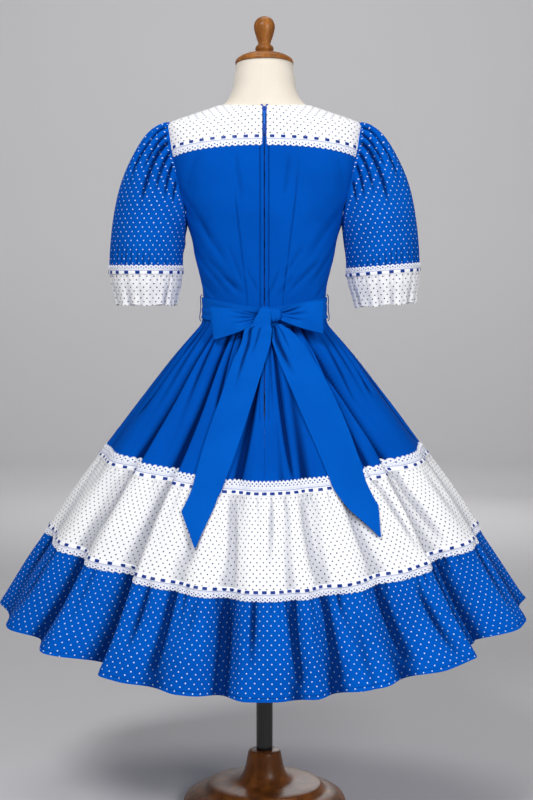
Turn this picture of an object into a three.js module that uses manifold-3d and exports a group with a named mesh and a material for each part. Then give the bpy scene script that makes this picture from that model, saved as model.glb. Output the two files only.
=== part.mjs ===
// A square dance dress on a limbless dress form.
//
// The dress is shown from the back: a blue bodice with a white dotted yoke, puffed dotted sleeves with
// white cuffs, a tied sash, and a tiered skirt with a blue top, a white dotted middle and a dotted flounce.
// The form is a linen-covered torso with a turned wooden cap, a steel pole and a round wooden base.
//
// Units are millimetres. +Z is up and the floor is z = 0. The pole's axis is x = y = 0.
// The back of the dress faces -Y, so +X is the wearer's right and -X is the wearer's left.
// Azimuth is the angle round the pole: 0 at the centre back, 90 at the wearer's right side, 180 at the
// centre front. Each cloth piece is a thin closed wall, and pieces stop a small seam gap short of each other.
import * as THREE from "three";
import { mergeVertices, mergeGeometries } from "three/addons/utils/BufferGeometryUtils.js";
import Module from "manifold-3d";

// Driving sizes
const CLOTH = 1.2; // wall of one cloth layer
const SEAM_GAP = 0.4; // between two pieces that are sewn together
const LIFT = 0.4; // between a trim and the panel that it lies on
const LACE = 1.0; // wall of the lace trim
const SASH = 2.0; // wall of the sash, which is folded double
const LACE_WIDTH = 20; // width of the lace trim on the dress
const LACE_END = 2.5; // how far the yoke's lace stops short of the armhole's edge

const FLOOR = 0;
const TORSO_BOTTOM = 755;
const NECK_TOP = 1522;
const CAP_TILT = 6; // degrees that the neck cap leans to the front

// Sections of the figure that the dress is cut for, from the hips to the neck.
// side is the half width, back and front are the depths from the pole's axis, square is the exponent of
// the section's superellipse: 2 is an ellipse and more is boxier.
const FIGURE = [
  { z: 755, side: 160, back: 106, front: 96, square: 2.2 },
  { z: 800, side: 168, back: 115, front: 103, square: 2.2 },
  { z: 860, side: 164, back: 113, front: 104, square: 2.2 },
  { z: 925, side: 148, back: 101, front: 100, square: 2.2 },
  { z: 975, side: 130, back: 87, front: 92, square: 2.2 },
  { z: 1005, side: 121.5, back: 80, front: 86, square: 2.2 },
  { z: 1040, side: 120.3, back: 78.5, front: 85.5, square: 2.2 },
  { z: 1071, side: 122, back: 80.5, front: 89.5, square: 2.2 },
  { z: 1104, side: 129, back: 85.5, front: 98, square: 2.2 },
  { z: 1137, side: 137, back: 90, front: 110, square: 2.2 },
  { z: 1169, side: 142.5, back: 93, front: 122, square: 2.3 },
  { z: 1200, side: 152, back: 96, front: 130, square: 2.3 },
  { z: 1223, side: 160, back: 98, front: 131, square: 2.4 },
  { z: 1258, side: 173, back: 99, front: 127, square: 2.6 },
  { z: 1298, side: 182, back: 99, front: 117, square: 2.8 },
  { z: 1338, side: 189, back: 95, front: 105, square: 2.8 },
  { z: 1373, side: 193.5, back: 86, front: 89, square: 2.5 },
  { z: 1393, side: 194.5, back: 79, front: 79, square: 2.2 },
  { z: 1401, side: 191, back: 76, front: 76, square: 2 },
  { z: 1409, side: 174, back: 74, front: 73, square: 2 },
  { z: 1418, side: 148, back: 71, front: 70, square: 2 },
  { z: 1426, side: 125, back: 68, front: 68, square: 2 },
  { z: 1434, side: 102, back: 65, front: 66, square: 2 },
  { z: 1443, side: 81, back: 62, front: 64, square: 2 },
  { z: 1459, side: 69.5, back: 59, front: 61, square: 2 },
  { z: 1475, side: 63.7, back: 57, front: 59, square: 2 },
  { z: 1491, side: 61.5, back: 55.5, front: 58, square: 2 },
  { z: 1522, side: 57, back: 54, front: 57, square: 2 },
];

// Ease: how far the bodice's inside stands off the figure, at the side seams and shoulder seams (side)
// and towards the centre back and front (centre).
const EASE = [
  { z: 1005, side: 2.6, centre: 2.6 },
  { z: 1071, side: 3.2, centre: 3.0 },
  { z: 1169, side: 3.6, centre: 3.4 },
  { z: 1258, side: 3.2, centre: 3.2 },
  { z: 1369, side: 2.4, centre: 2.8 },
  { z: 1401, side: 2.2, centre: 2.6 },
  { z: 1436, side: 1.1, centre: 1.6 },
];

// Skirt sections below the waist seam, without folds. level counts the tiers: 0 waist seam, 1 top of the
// white tier, 2 top of the flounce, 3 hem. Height is given at the side and at the centre back and front,
// because the same length of cloth hangs lower where it flares less.
const SKIRT = [
  { level: 0.08, side: 129.5, back: 93, front: 98, sideZ: 998, depthZ: 988, square: 2.2, gathers: 3 },
  { level: 0.3, side: 186, back: 133, front: 136, sideZ: 933, depthZ: 918, square: 2.1, gathers: 8 },
  { level: 0.6, side: 254, back: 178, front: 179, sideZ: 846, depthZ: 814, square: 2, gathers: 8.5 },
  { level: 0.942, side: 328, back: 228, front: 228, sideZ: 748, depthZ: 696, square: 2, gathers: 1.5 },
  { level: 1, side: 338, back: 236, front: 236, sideZ: 735, depthZ: 677, square: 2, gathers: 0 },
  { level: 1.5, side: 391, back: 281, front: 281, sideZ: 664, depthZ: 591, square: 2, gathers: 4 },
  { level: 2, side: 441, back: 325, front: 325, sideZ: 590, depthZ: 506, square: 2, gathers: 0 },
  { level: 2.12, side: 454, back: 334, front: 334, sideZ: 571, depthZ: 484, square: 2, gathers: 1.5 },
  { level: 2.5, side: 495, back: 366, front: 366, sideZ: 511, depthZ: 412, square: 2, gathers: 5 },
  { level: 3, side: 546, back: 410, front: 410, sideZ: 432, depthZ: 320, square: 2.1, gathers: 3 },
];
const DROP = 1.2; // how fast the tiers' heights change from the side to the centre
const SKIRT_COLUMNS = 108; // round the whole skirt, three to each gather
const GATHERS = 36; // fine gathers round each tier

// The skirt's large folds, as troughs that run down the cloth. azimuth is the trough's line, before and
// after are its half widths in degrees on either side, depth is at the hem, starts is the skirt level.
const FOLDS = [
  { azimuth: -12.5, before: 8, after: 8, depth: 26, starts: 0.15 },
  { azimuth: 9, before: 5, after: 5, depth: 10, starts: 0.1 },
  { azimuth: 20, before: 7, after: 8, depth: 26, starts: 0.1 },
  { azimuth: 38.5, before: 9, after: 8, depth: 26, starts: 0.1 },
  { azimuth: 60, before: 6, after: 13, depth: 50, starts: 0.2 },
  { azimuth: 84, before: 9, after: 8, depth: 24, starts: 0.2 },
  { azimuth: 106, before: 11, after: 9, depth: 34, starts: 0.1 },
  { azimuth: 128, before: 9, after: 12, depth: 38, starts: 0.2 },
  { azimuth: 152, before: 10, after: 9, depth: 28, starts: 0.1 },
  { azimuth: 173, before: 9, after: 10, depth: 30, starts: 0.2 },
  { azimuth: 195, before: 9, after: 9, depth: 24, starts: 0.1 },
  { azimuth: 216, before: 10, after: 10, depth: 34, starts: 0.1 },
  { azimuth: 238, before: 10, after: 9, depth: 30, starts: 0.2 },
  { azimuth: 260, before: 10, after: 10, depth: 32, starts: 0.1 },
  { azimuth: 279, before: 7, after: 8, depth: 18, starts: 0.2 },
  { azimuth: 295, before: 7, after: 8, depth: 34, starts: 0.2 },
  { azimuth: 313, before: 11, after: 6, depth: 48, starts: 0.2 },
  { azimuth: 331, before: 8, after: 7, depth: 16, starts: 0.1 },
];

// Seams of the bodice, as heights: centre is at the centre back or front, edge at the armhole.
const WAIST = { side: 1018, depth: 1010 };
const YOKE_SEAM_BACK = { centre: 1369, edge: 1350 };
const YOKE_SEAM_FRONT = { centre: 1320, edge: 1333 };
const NECKLINE_BACK = 1431;
const NECKLINE_FRONT = 1376;
const NECK_POINT = 1436;
const NECK_SCOOP = 2.4; // exponent of the front neckline's curve
const ZIP_OPENING = 1.0; // half width of the slit over the zip on the bodice
const YOKE_OPENING = 5.0; // half width of the bare zip between the yoke's edges

// The armhole, an egg that stands on its wide end
const ARMHOLE = { top: 1403, bottom: 1200, backDepth: 50, frontDepth: 52, egg: 0.12 };

// Sleeves. The cuff seam is a level ring, and the cuff narrows below it.
const SLEEVE = { x: 241.5, side: 75, depth: 71, z: 1103, gathers: 10, gatherDepth: 8, stand: 0.7 };
const SLEEVE_COLUMNS = 30;
// The two control points of a line of the sleeve: their offsets from the armhole and from the cuff, and
// how much those change with the cosine and the sine of the turn
const SLEEVE_CURVE = {
  fromArmhole: { x: 22, xCos: 19, ySin: -18, z: -6, zCos: 14.5 },
  fromCuff: { x: -1.25, xCos: -1.25, ySin: -10, z: 127, zCos: 88 },
};
// The line of points inside the sleeve: it starts below the shoulder and runs outwards on the way down.
const SLEEVE_CORE = { x: 165, outward: 0.4, below: 45 };
const CUFF_LACE = 16;
const CUFF_GAP = 0.6;
const CUFF = [
  { drop: 0, shrink: 0 },
  { drop: 22, shrink: 3 },
  { drop: 46, shrink: 10.5 },
  { drop: 66, shrink: 14.5 },
];

// The sash round the waist: heights of its edges at the side and at the centre back and front
const BELT = { topSide: 1053, topDepth: 1032, bottomSide: 1010, bottomDepth: 992, stand: 1.2 };
const BELT_LOOP = { beyond: 6, stand: 1.4, radius: 1.1 };

// The bow at the centre back
const KNOT = { x: 12, z: 1018, width: 42, height: 32, depth: 22, stand: 0.5 };
const BOW_LOOPS = [
  { name: "left", side: -1, reach: 101.5, low: 969, high: 1033 },
  { name: "right", side: 1, reach: 85, low: 982, high: 1046 },
];
// Each tail is a row of pairs: x and skirt level of its left edge and its right edge as seen from the
// back, and how far the row stands off the skirt.
const TAILS = {
  left: [
    { xLeft: -32, levelLeft: 0.08, xRight: 12, levelRight: 0.08, off: 22 },
    { xLeft: -42, levelLeft: 0.17, xRight: 11, levelRight: 0.15, off: 11 },
    { xLeft: -57, levelLeft: 0.27, xRight: 2, levelRight: 0.26, off: 7.5 },
    { xLeft: -87, levelLeft: 0.52, xRight: -22, levelRight: 0.49, off: 5 },
    { xLeft: -116, levelLeft: 0.77, xRight: -49, levelRight: 0.73, off: 4 },
    { xLeft: -156, levelLeft: 1.24, xRight: -87, levelRight: 1.04, off: 4 },
    { xLeft: -130, levelLeft: 1.6, xRight: -128, levelRight: 1.6, off: 4 },
  ],
  right: [
    { xLeft: 15, levelLeft: 0.05, xRight: 30, levelRight: 0.04, off: 12 },
    { xLeft: 14, levelLeft: 0.13, xRight: 61, levelRight: 0.13, off: 9 },
    { xLeft: 24, levelLeft: 0.24, xRight: 88, levelRight: 0.25, off: 6 },
    { xLeft: 58, levelLeft: 0.48, xRight: 134, levelRight: 0.5, off: 4 },
    { xLeft: 99, levelLeft: 0.76, xRight: 174, levelRight: 0.79, off: 0.8 },
    { xLeft: 161, levelLeft: 1.23, xRight: 216, levelRight: 1.25, off: 4 },
    { xLeft: 217, levelLeft: 1.59, xRight: 219, levelRight: 1.59, off: 4 },
  ],
};
// The left tail starts over the knot: its edges' x, the height, and the distance out from the sash.
const OVER_KNOT = [
  { xLeft: -3, xRight: 8, z: 1035.2, near: 14 },
  { xLeft: -8, xRight: 11, z: 1029, near: 23.4 },
  { xLeft: -15, xRight: 12.5, z: 1018, near: 24.5 },
  { xLeft: -26, xRight: 12.5, z: 998, near: 27 },
];

// The zip: a tape behind the centre back opening, a slider near its top and a pull tab that swings
const ZIP = { halfWidth: 4.6, thickness: 1.0, stand: 0.4, endLevel: 0.6, flat: 3.4, behind: 1 };
const SLIDER = {
  z: 1416,
  width: 7,
  height: 9,
  plate: 1.6,
  bar: 0.8,
  barStand: 2.4,
  ear: { width: 0.9, height: 3.2, beyondBar: 0.4, intoPlate: 0.05, clearOfTab: 0.3 },
};
const PULL = { width: 3.4, length: 24, thickness: 1.1, eye: 1.05, eyeWall: 0.95, stand: 1.6 };

// The form's stand. Profiles are radius and height pairs.
const POLE_RADIUS = 17.2;
const BASE_PROFILE = [
  [0, 0],
  [163, 0],
  [168.5, 4],
  [168.5, 10],
  [163, 19],
  [146, 28],
  [123, 33],
  [119.5, 40.5],
  [117, 46],
  [72, 48],
  [56, 52],
  [45, 63],
  [39, 81],
  [35, 104],
  [33, 112],
  [29, 113.5],
  [0, 113.5],
];
const CAP_PROFILE = [
  [0, 0.4],
  [58.5, 0.4],
  [59.5, 4],
  [57, 9.5],
  [45, 17],
  [26, 22],
  [0, 23],
];
const FINIAL_PROFILE = [
  [0, 0],
  [15, 0],
  [19.5, 7],
  [17.5, 13.5],
  [12, 17],
  [13.5, 23],
  [18, 36],
  [21.8, 50],
  [21.5, 58],
  [17.5, 67],
  [9, 73],
  [0, 74.5],
];

// Materials, one for each kind of cloth and each part of the form
const finish = (color, roughness, metalness = 0) => new THREE.MeshStandardMaterial({ color, roughness, metalness });
const BLUE = finish(0x0a55c4, 0.75);
const BLUE_DOT = finish(0x1560cf, 0.78);
const WHITE_DOT = finish(0xf2f1f4, 0.8);
const LACE_WHITE = finish(0xf6f5fa, 0.85);
const LINEN = finish(0xece2d2, 0.85);
const WOOD = finish(0x8a4a17, 0.35);
const STEEL = finish(0x1d1c1b, 0.4, 0.6);
const ZIP_BLUE = finish(0x0a3f9f, 0.6);

// Numbers
const DEG = Math.PI / 180;
const mix = (a, b, t) => a + (b - a) * t;
const ease01 = (t) => t * t * (3 - 2 * t);
const clamp01 = (t) => Math.min(1, Math.max(0, t));
const steps = (n) => Array.from({ length: n + 1 }, (_, i) => i / n);

// The row of a table at a value of its first column: a smooth curve through every column that doesn't
// overshoot between two rows.
function rowAt(table, key, value) {
  const at = Math.min(Math.max(value, table[0][key]), table[table.length - 1][key]);
  let i = 0;
  while (i < table.length - 2 && table[i + 1][key] < at) i += 1;
  const span = table[i + 1][key] - table[i][key];
  const t = (at - table[i][key]) / span;
  const slope = (k, column) => {
    if (k === 0 || k === table.length - 1) return 0;
    const before = (table[k][column] - table[k - 1][column]) / (table[k][key] - table[k - 1][key]);
    const after = (table[k + 1][column] - table[k][column]) / (table[k + 1][key] - table[k][key]);
    return before * after <= 0 ? 0 : (2 * before * after) / (before + after);
  };
  const row = {};
  for (const column of Object.keys(table[0])) {
    const [a, b] = [table[i][column], table[i + 1][column]];
    const [sa, sb] = [slope(i, column) * span, slope(i + 1, column) * span];
    row[column] =
      a * (2 * t ** 3 - 3 * t ** 2 + 1) +
      sa * (t ** 3 - 2 * t ** 2 + t) +
      b * (3 * t ** 2 - 2 * t ** 3) +
      sb * (t ** 3 - t ** 2);
  }
  row[key] = at;
  return row;
}

// The row of a table by straight lines between its rows
function straightRowAt(table, key, value) {
  let i = 0;
  while (i < table.length - 2 && table[i + 1][key] < value) i += 1;
  const t = (value - table[i][key]) / (table[i + 1][key] - table[i][key]);
  return Object.fromEntries(Object.keys(table[0]).map((c) => [c, mix(table[i][c], table[i + 1][c], t)]));
}

// Distance from the axis to a superellipse with half axes side and depth, at an azimuth in degrees
function reach(side, depth, square, azimuth) {
  const s = Math.abs(Math.sin(azimuth * DEG)) / side;
  const c = Math.abs(Math.cos(azimuth * DEG)) / depth;
  return (s ** square + c ** square) ** (-1 / square);
}

const atAzimuth = (radius, azimuth, z) =>
  new THREE.Vector3(radius * Math.sin(azimuth * DEG), -radius * Math.cos(azimuth * DEG), z);

// The figure

function figurePoint(azimuth, z) {
  const row = rowAt(FIGURE, "z", z);
  const depth = Math.cos(azimuth * DEG) > 0 ? row.back : row.front;
  return atAzimuth(reach(row.side, depth, row.square, azimuth), azimuth, z);
}

// A point of the figure moved out along its normal
function offFigure(azimuth, z, off) {
  const p = figurePoint(azimuth, z);
  const across = figurePoint(azimuth + 0.5, z).sub(figurePoint(azimuth - 0.5, z));
  const up = figurePoint(azimuth, z + 0.5).sub(figurePoint(azimuth, z - 0.5));
  return p.add(across.cross(up).normalize().multiplyScalar(off));
}

// How far the bodice's outside lies from the figure
function bodiceOff(azimuth, z) {
  const row = rowAt(EASE, "z", z);
  return mix(row.side, row.centre, Math.abs(Math.cos(azimuth * DEG))) + CLOTH;
}

const bodicePoint = (azimuth, z, off = 0) => offFigure(azimuth, z, bodiceOff(azimuth, z) + off);

// The azimuth at which the figure's section reaches a depth behind (positive) or before (negative) the axis
function azimuthAtDepth(z, depth) {
  let azimuth = 90;
  for (let n = 0; n < 40; n += 1) {
    const p = figurePoint(azimuth, z);
    azimuth = Math.acos(Math.min(1, Math.max(-1, depth / Math.hypot(p.x, p.y)))) / DEG;
  }
  return azimuth;
}

// Depth of the armhole's edge at a height: positive for the back edge, negative for the front edge
function armholeDepth(z, front) {
  const middle = (ARMHOLE.top + ARMHOLE.bottom) / 2;
  const u = (z - middle) / (ARMHOLE.top - middle);
  const width = front ? -ARMHOLE.frontDepth : ARMHOLE.backDepth;
  return width * Math.sqrt(Math.max(0, 1 - u * u)) * (1 - ARMHOLE.egg * u);
}

// The azimuth where a panel ends at a height: its side seam, armhole or shoulder seam
function panelEdge(z, front) {
  const seam = ((SEAM_GAP / 2) / figurePoint(90, z).x / DEG) * (front ? 1 : -1);
  if (z <= ARMHOLE.bottom || z >= ARMHOLE.top) return 90 + seam;
  const edge = azimuthAtDepth(z, armholeDepth(z, front));
  return front ? Math.max(edge, 90 + seam) : Math.min(edge, 90 + seam);
}

// Closed walls

const vector = (x, y, z) => new THREE.Vector3(x, y, z);

// Normals of a grid of points, pointing away from the point that inside gives for each
function gridNormals(grid, wrap, inside) {
  const last = grid.length - 1;
  return grid.map((row, i) =>
    row.map((p, j) => {
      const n = row.length;
      const before = wrap ? row[(j + n - 1) % n] : row[Math.max(0, j - 1)];
      const after = wrap ? row[(j + 1) % n] : row[Math.min(n - 1, j + 1)];
      const down = grid[Math.min(last, i + 1)][j].clone().sub(grid[Math.max(0, i - 1)][j]);
      const normal = after.clone().sub(before).cross(down).normalize();
      return normal.dot(p.clone().sub(inside(p))) < 0 ? normal.negate() : normal;
    }),
  );
}

// One closed body from an outer and an inner grid of the same size
function shell(outer, inner, wrap) {
  const rows = outer.length;
  const columns = outer[0].length;
  const points = [...outer.flat(), ...inner.flat()];
  const far = rows * columns;
  const at = (i, j) => i * columns + (j % columns);
  const faces = [];
  const quad = (a, b, c, d) => faces.push(a, b, c, a, c, d);
  const across = wrap ? columns : columns - 1;
  for (let i = 0; i < rows - 1; i += 1)
    for (let j = 0; j < across; j += 1) {
      quad(at(i, j), at(i, j + 1), at(i + 1, j + 1), at(i + 1, j));
      quad(far + at(i, j), far + at(i + 1, j), far + at(i + 1, j + 1), far + at(i, j + 1));
    }
  for (let j = 0; j < across; j += 1) {
    quad(at(0, j), far + at(0, j), far + at(0, j + 1), at(0, j + 1));
    quad(at(rows - 1, j), at(rows - 1, j + 1), far + at(rows - 1, j + 1), far + at(rows - 1, j));
  }
  if (!wrap)
    for (let i = 0; i < rows - 1; i += 1) {
      quad(at(i, 0), at(i + 1, 0), far + at(i + 1, 0), far + at(i, 0));
      quad(at(i, columns - 1), far + at(i, columns - 1), far + at(i + 1, columns - 1), at(i + 1, columns - 1));
    }
  return facingOut(points, faces);
}

// A geometry of indexed points, turned round if its faces point inwards
function facingOut(points, faces) {
  let volume = 0;
  for (let f = 0; f < faces.length; f += 3) {
    const [a, b, c] = [points[faces[f]], points[faces[f + 1]], points[faces[f + 2]]];
    volume += a.dot(b.clone().cross(c));
  }
  const index = volume > 0 ? faces : faces.map((_, k) => faces[k % 3 === 0 ? k : k % 3 === 1 ? k + 1 : k - 1]);
  const geometry = new THREE.BufferGeometry();
  geometry.setAttribute("position", new THREE.Float32BufferAttribute(points.flatMap((p) => [p.x, p.y, p.z]), 3));
  geometry.setIndex(index);
  return geometry;
}

const onAxis = (p) => vector(0, 0, p.z);

// A wall whose outside is a grid of points, thickness deep, standing off that grid by lift
function wall(grid, { thickness = CLOTH, wrap = false, lift = 0, inside = onAxis } = {}) {
  const normals = gridNormals(grid, wrap, inside);
  const moved = (off) => grid.map((row, i) => row.map((p, j) => p.clone().addScaledVector(normals[i][j], off)));
  return shell(moved(lift), moved(lift - thickness), wrap);
}

const group = new THREE.Group();

function add(name, geometry, material, parent = group) {
  const mesh = new THREE.Mesh(geometry, material);
  mesh.name = name;
  parent.add(mesh);
  return mesh;
}

// The same grid on the wearer's other side
const mirrored = (grid) => grid.map((row) => row.map((p) => vector(-p.x, p.y, p.z)));

// Bodice and yoke

const waistHeight = (azimuth) => mix(WAIST.side, WAIST.depth, Math.cos(azimuth * DEG) ** 2);

// Rows of a panel between two heights, one of which is the armhole's bottom or top
const splitRows = (low, split, high, below, above) => [
  ...steps(below).map((t) => (t * (split - low)) / (high - low)),
  ...steps(above)
    .slice(1)
    .map((t) => (split - low + t * (high - split)) / (high - low)),
];

// Half of the back from the centre back opening to the side: rows run upwards and columns outwards.
// bottom and top give the height of an edge at a share s of the way from the centre to the side.
function backHalf({ bottom, top, rows, opening, columns, off = 0 }) {
  return rows.map((u) => {
    const edge = panelEdge(mix(bottom(1), top(1), u), false);
    return steps(columns).map((s) => {
      const z = mix(bottom(s), top(s), u);
      const centre = Math.atan(opening / Math.abs(bodicePoint(0, z, off).y)) / DEG;
      return bodicePoint(mix(centre, edge, s), z, off);
    });
  });
}

// A whole front between the two sides. s runs from -1 at the wearer's right to 1 at the wearer's left.
function wholeFront({ bottom, top, rows, columns, off = 0 }) {
  return rows.map((u) => {
    const edge = panelEdge(mix(bottom(1), top(1), u), true);
    return steps(columns).map((t) => {
      const s = 2 * t - 1;
      return bodicePoint(180 + s * (180 - edge), mix(bottom(Math.abs(s)), top(Math.abs(s)), u), off);
    });
  });
}

const yokeSeamBack = (s) => mix(YOKE_SEAM_BACK.centre, YOKE_SEAM_BACK.edge, s * s);
const yokeSeamFront = (s) => mix(YOKE_SEAM_FRONT.centre, YOKE_SEAM_FRONT.edge, s * s);
const waistFromShare = (s) => waistHeight(90 * s);

const BACK_COLUMNS = 7;
const FRONT_COLUMNS = 16;

// The bodice's last row but one lies where the lace ends, so that the lace follows the same faces.
// Rows are close together at the waist, where the sash lies on them.
function bodiceRows(edgeTop) {
  const height = edgeTop - WAIST.side;
  const laceRow = 1 - LACE_WIDTH / height;
  const armhole = (ARMHOLE.bottom - WAIST.side) / (edgeTop - LACE_WIDTH - WAIST.side);
  const rows = [0, 0.14, 0.28, 0.5, 0.75, 1].map((t) => t * armhole * laceRow);
  return [...rows, mix(armhole, 1, 0.5) * laceRow, laceRow, 1];
}

const yokeRows = (edgeBottom) => splitRows(edgeBottom, ARMHOLE.top, NECK_POINT, 4, 3);

const PANELS = {
  bodiceBack: (off) =>
    backHalf({
      bottom: (s) => waistFromShare(s) + SEAM_GAP / 2,
      top: (s) => yokeSeamBack(s) - SEAM_GAP / 2,
      rows: bodiceRows(YOKE_SEAM_BACK.edge),
      opening: ZIP_OPENING,
      columns: BACK_COLUMNS,
      off,
    }),
  yokeBack: (off) =>
    backHalf({
      bottom: (s) => yokeSeamBack(s) + SEAM_GAP / 2,
      top: (s) => mix(NECKLINE_BACK, NECK_POINT, s),
      rows: yokeRows(YOKE_SEAM_BACK.edge),
      opening: YOKE_OPENING,
      columns: BACK_COLUMNS,
      off,
    }),
  bodiceFront: (off) =>
    wholeFront({
      bottom: (s) => waistFromShare(s) + SEAM_GAP / 2,
      top: (s) => yokeSeamFront(s) - SEAM_GAP / 2,
      rows: bodiceRows(YOKE_SEAM_FRONT.edge),
      columns: FRONT_COLUMNS,
      off,
    }),
  yokeFront: (off) =>
    wholeFront({
      bottom: (s) => yokeSeamFront(s) + SEAM_GAP / 2,
      top: (s) => mix(NECKLINE_FRONT, NECK_POINT, s ** NECK_SCOOP),
      rows: yokeRows(YOKE_SEAM_FRONT.edge),
      columns: FRONT_COLUMNS,
      off,
    }),
};

// A panel as a wall between its outside and the same panel nearer to the figure
const panelWall = (panel, place = (grid) => grid) => shell(place(panel(0)), place(panel(-CLOTH)), false);

// The lace on a yoke seam lies on the bodice's top row of faces. It stops short of the sleeves, and over
// the open zip it stops at the yoke's edge.
const topBand = (panel) => panel(0).slice(-2);
const pullIn = (row, from, to, by) => row[from].lerp(row[to], by / row[from].distanceTo(row[to]));

add("bodice_back_right", panelWall(PANELS.bodiceBack), BLUE);
add("bodice_back_left", panelWall(PANELS.bodiceBack, mirrored), BLUE);
add("bodice_front", panelWall(PANELS.bodiceFront), BLUE);
add("yoke_back_right", panelWall(PANELS.yokeBack), WHITE_DOT);
add("yoke_back_left", panelWall(PANELS.yokeBack, mirrored), WHITE_DOT);
add("yoke_front", panelWall(PANELS.yokeFront), WHITE_DOT);

const laceBack = topBand(PANELS.bodiceBack);
const laceFront = topBand(PANELS.bodiceFront);
laceBack.forEach((row) => {
  pullIn(row, 0, 1, YOKE_OPENING - ZIP_OPENING);
  pullIn(row, BACK_COLUMNS, BACK_COLUMNS - 1, LACE_END);
});
laceFront.forEach((row) => {
  pullIn(row, 0, 1, LACE_END);
  pullIn(row, FRONT_COLUMNS, FRONT_COLUMNS - 1, LACE_END);
});
const laceOn = { thickness: LACE, lift: LIFT + LACE };
add("lace_yoke_back_right", wall(laceBack, laceOn), LACE_WHITE);
add("lace_yoke_back_left", wall(mirrored(laceBack), laceOn), LACE_WHITE);
add("lace_yoke_front", wall(laceFront, laceOn), LACE_WHITE);

// Sleeves

// The armhole's edge on the outside of the bodice. turn is 0 at the shoulder, 90 at the back, 180 at
// the underarm and 270 at the front.
function armholePoint(turn, off) {
  const middle = (ARMHOLE.top + ARMHOLE.bottom) / 2;
  const z = middle + (ARMHOLE.top - middle) * Math.cos(turn * DEG);
  const front = turn > 180;
  return bodicePoint(azimuthAtDepth(z, armholeDepth(z, front)), z, off);
}

// A ring of the cuff for the wearer's right arm, drop below the cuff seam and shrink narrower than it.
// tilt raises its outer side.
function cuffPoint(turn, drop, shrink, tilt) {
  const x = (SLEEVE.side - shrink) * Math.cos(turn * DEG);
  const y = -(SLEEVE.depth - shrink) * Math.sin(turn * DEG);
  const lean = tilt * DEG;
  return vector(
    SLEEVE.x + x * Math.cos(lean) + drop * Math.sin(lean),
    y,
    SLEEVE.z + x * Math.sin(lean) - drop * Math.cos(lean),
  );
}

// A line of the sleeve from the armhole to the cuff seam, as a curve with two control points
function sleeveLine(turn, tilt) {
  const [c, s] = [Math.cos(turn * DEG), Math.sin(turn * DEG)];
  const from = armholePoint(turn, SLEEVE.stand);
  const to = cuffPoint(turn, 0, 0, tilt);
  const offset = ({ x, xCos, ySin, z, zCos }) => vector(x + xCos * c, ySin * s, z + zCos * c);
  const outOfArmhole = from.clone().add(offset(SLEEVE_CURVE.fromArmhole));
  const aboveCuff = to.clone().add(offset(SLEEVE_CURVE.fromCuff));
  return new THREE.CubicBezierCurve3(from, outOfArmhole, aboveCuff, to);
}

// How deep the gathers of the sleeve's cap press in, at a turn and a share of the way down
function capGather(turn, t) {
  const wave = 0.5 - 0.5 * Math.cos(SLEEVE.gathers * turn * DEG);
  const overTheCap = Math.cos((turn * DEG) / 2) ** 2;
  const downTheSleeve = ease01(clamp01(t / 0.12)) * (1 - ease01(clamp01((t - 0.15) / 0.6)));
  return SLEEVE.gatherDepth * wave * overTheCap * downTheSleeve;
}

const SLEEVE_ROWS = [0, 0.09, 0.22, 0.42, 0.68, 1];
const turns = Array.from({ length: SLEEVE_COLUMNS }, (_, j) => (360 * j) / SLEEVE_COLUMNS);

function sleeveGrid(tilt) {
  const lines = turns.map((turn) => sleeveLine(turn, tilt));
  const laceStart = lines.map((line) => 1 - CUFF_LACE / (3 * line.v3.distanceTo(line.v2)));
  const share = (row, j) => (row === SLEEVE_ROWS.length ? 1 : SLEEVE_ROWS[row] * laceStart[j]);
  const rows = [...SLEEVE_ROWS.keys(), SLEEVE_ROWS.length];
  const plain = rows.map((row) => lines.map((line, j) => line.getPoint(share(row, j))));
  const normals = gridNormals(plain, true, insideSleeve);
  return plain.map((points, row) =>
    points.map((p, j) => p.clone().addScaledVector(normals[row][j], -capGather(turns[j], share(row, j)))),
  );
}

// A point inside the sleeve, against which its outside is told
function insideSleeve(p) {
  const { x, outward, below } = SLEEVE_CORE;
  const out = Math.min(SLEEVE.x, x + Math.max(0, ARMHOLE.top - p.z) * outward);
  return vector(Math.sign(p.x) * out, 0, Math.min(p.z, ARMHOLE.top - below));
}

const cuffGrid = (tilt) =>
  CUFF.map(({ drop, shrink }) => turns.map((turn) => cuffPoint(turn, drop + (drop ? 0 : CUFF_GAP), shrink, tilt)));

const aroundSleeve = { wrap: true, inside: insideSleeve };

for (const { name, tilt, place } of [
  { name: "right", tilt: 4.5, place: (grid) => grid },
  { name: "left", tilt: 0, place: mirrored },
]) {
  const sleeve = place(sleeveGrid(tilt));
  add("sleeve_" + name, wall(sleeve, aroundSleeve), BLUE_DOT);
  add("cuff_" + name, wall(place(cuffGrid(tilt)), aroundSleeve), WHITE_DOT);
  add("lace_cuff_" + name, wall(sleeve.slice(-2), { ...aroundSleeve, ...laceOn }), LACE_WHITE);
}

// Skirt

// How far a fold's trough presses in at an azimuth, from 0 outside the fold to 1 on its line
function trough(fold, azimuth) {
  const turned = ((((azimuth - fold.azimuth + 180) % 360) + 360) % 360) - 180;
  const u = turned < 0 ? -turned / fold.before : turned / fold.after;
  return u < 1 ? 0.5 + 0.5 * Math.cos(Math.PI * u) : 0;
}

// The skirt without folds, off out from it. It starts on the bodice's waist seam.
function skirtEnvelope(azimuth, level, off = 0) {
  const row = straightRowAt(SKIRT, "level", Math.max(level, SKIRT[0].level));
  const depth = Math.cos(azimuth * DEG) > 0 ? row.back : row.front;
  const radius = reach(row.side, depth, row.square, azimuth) + off;
  const p = atAzimuth(radius, azimuth, skirtHeight(row, azimuth));
  if (level >= SKIRT[0].level) return p;
  return waistSeamPoint(azimuth, off).lerp(p, level / SKIRT[0].level);
}

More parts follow.
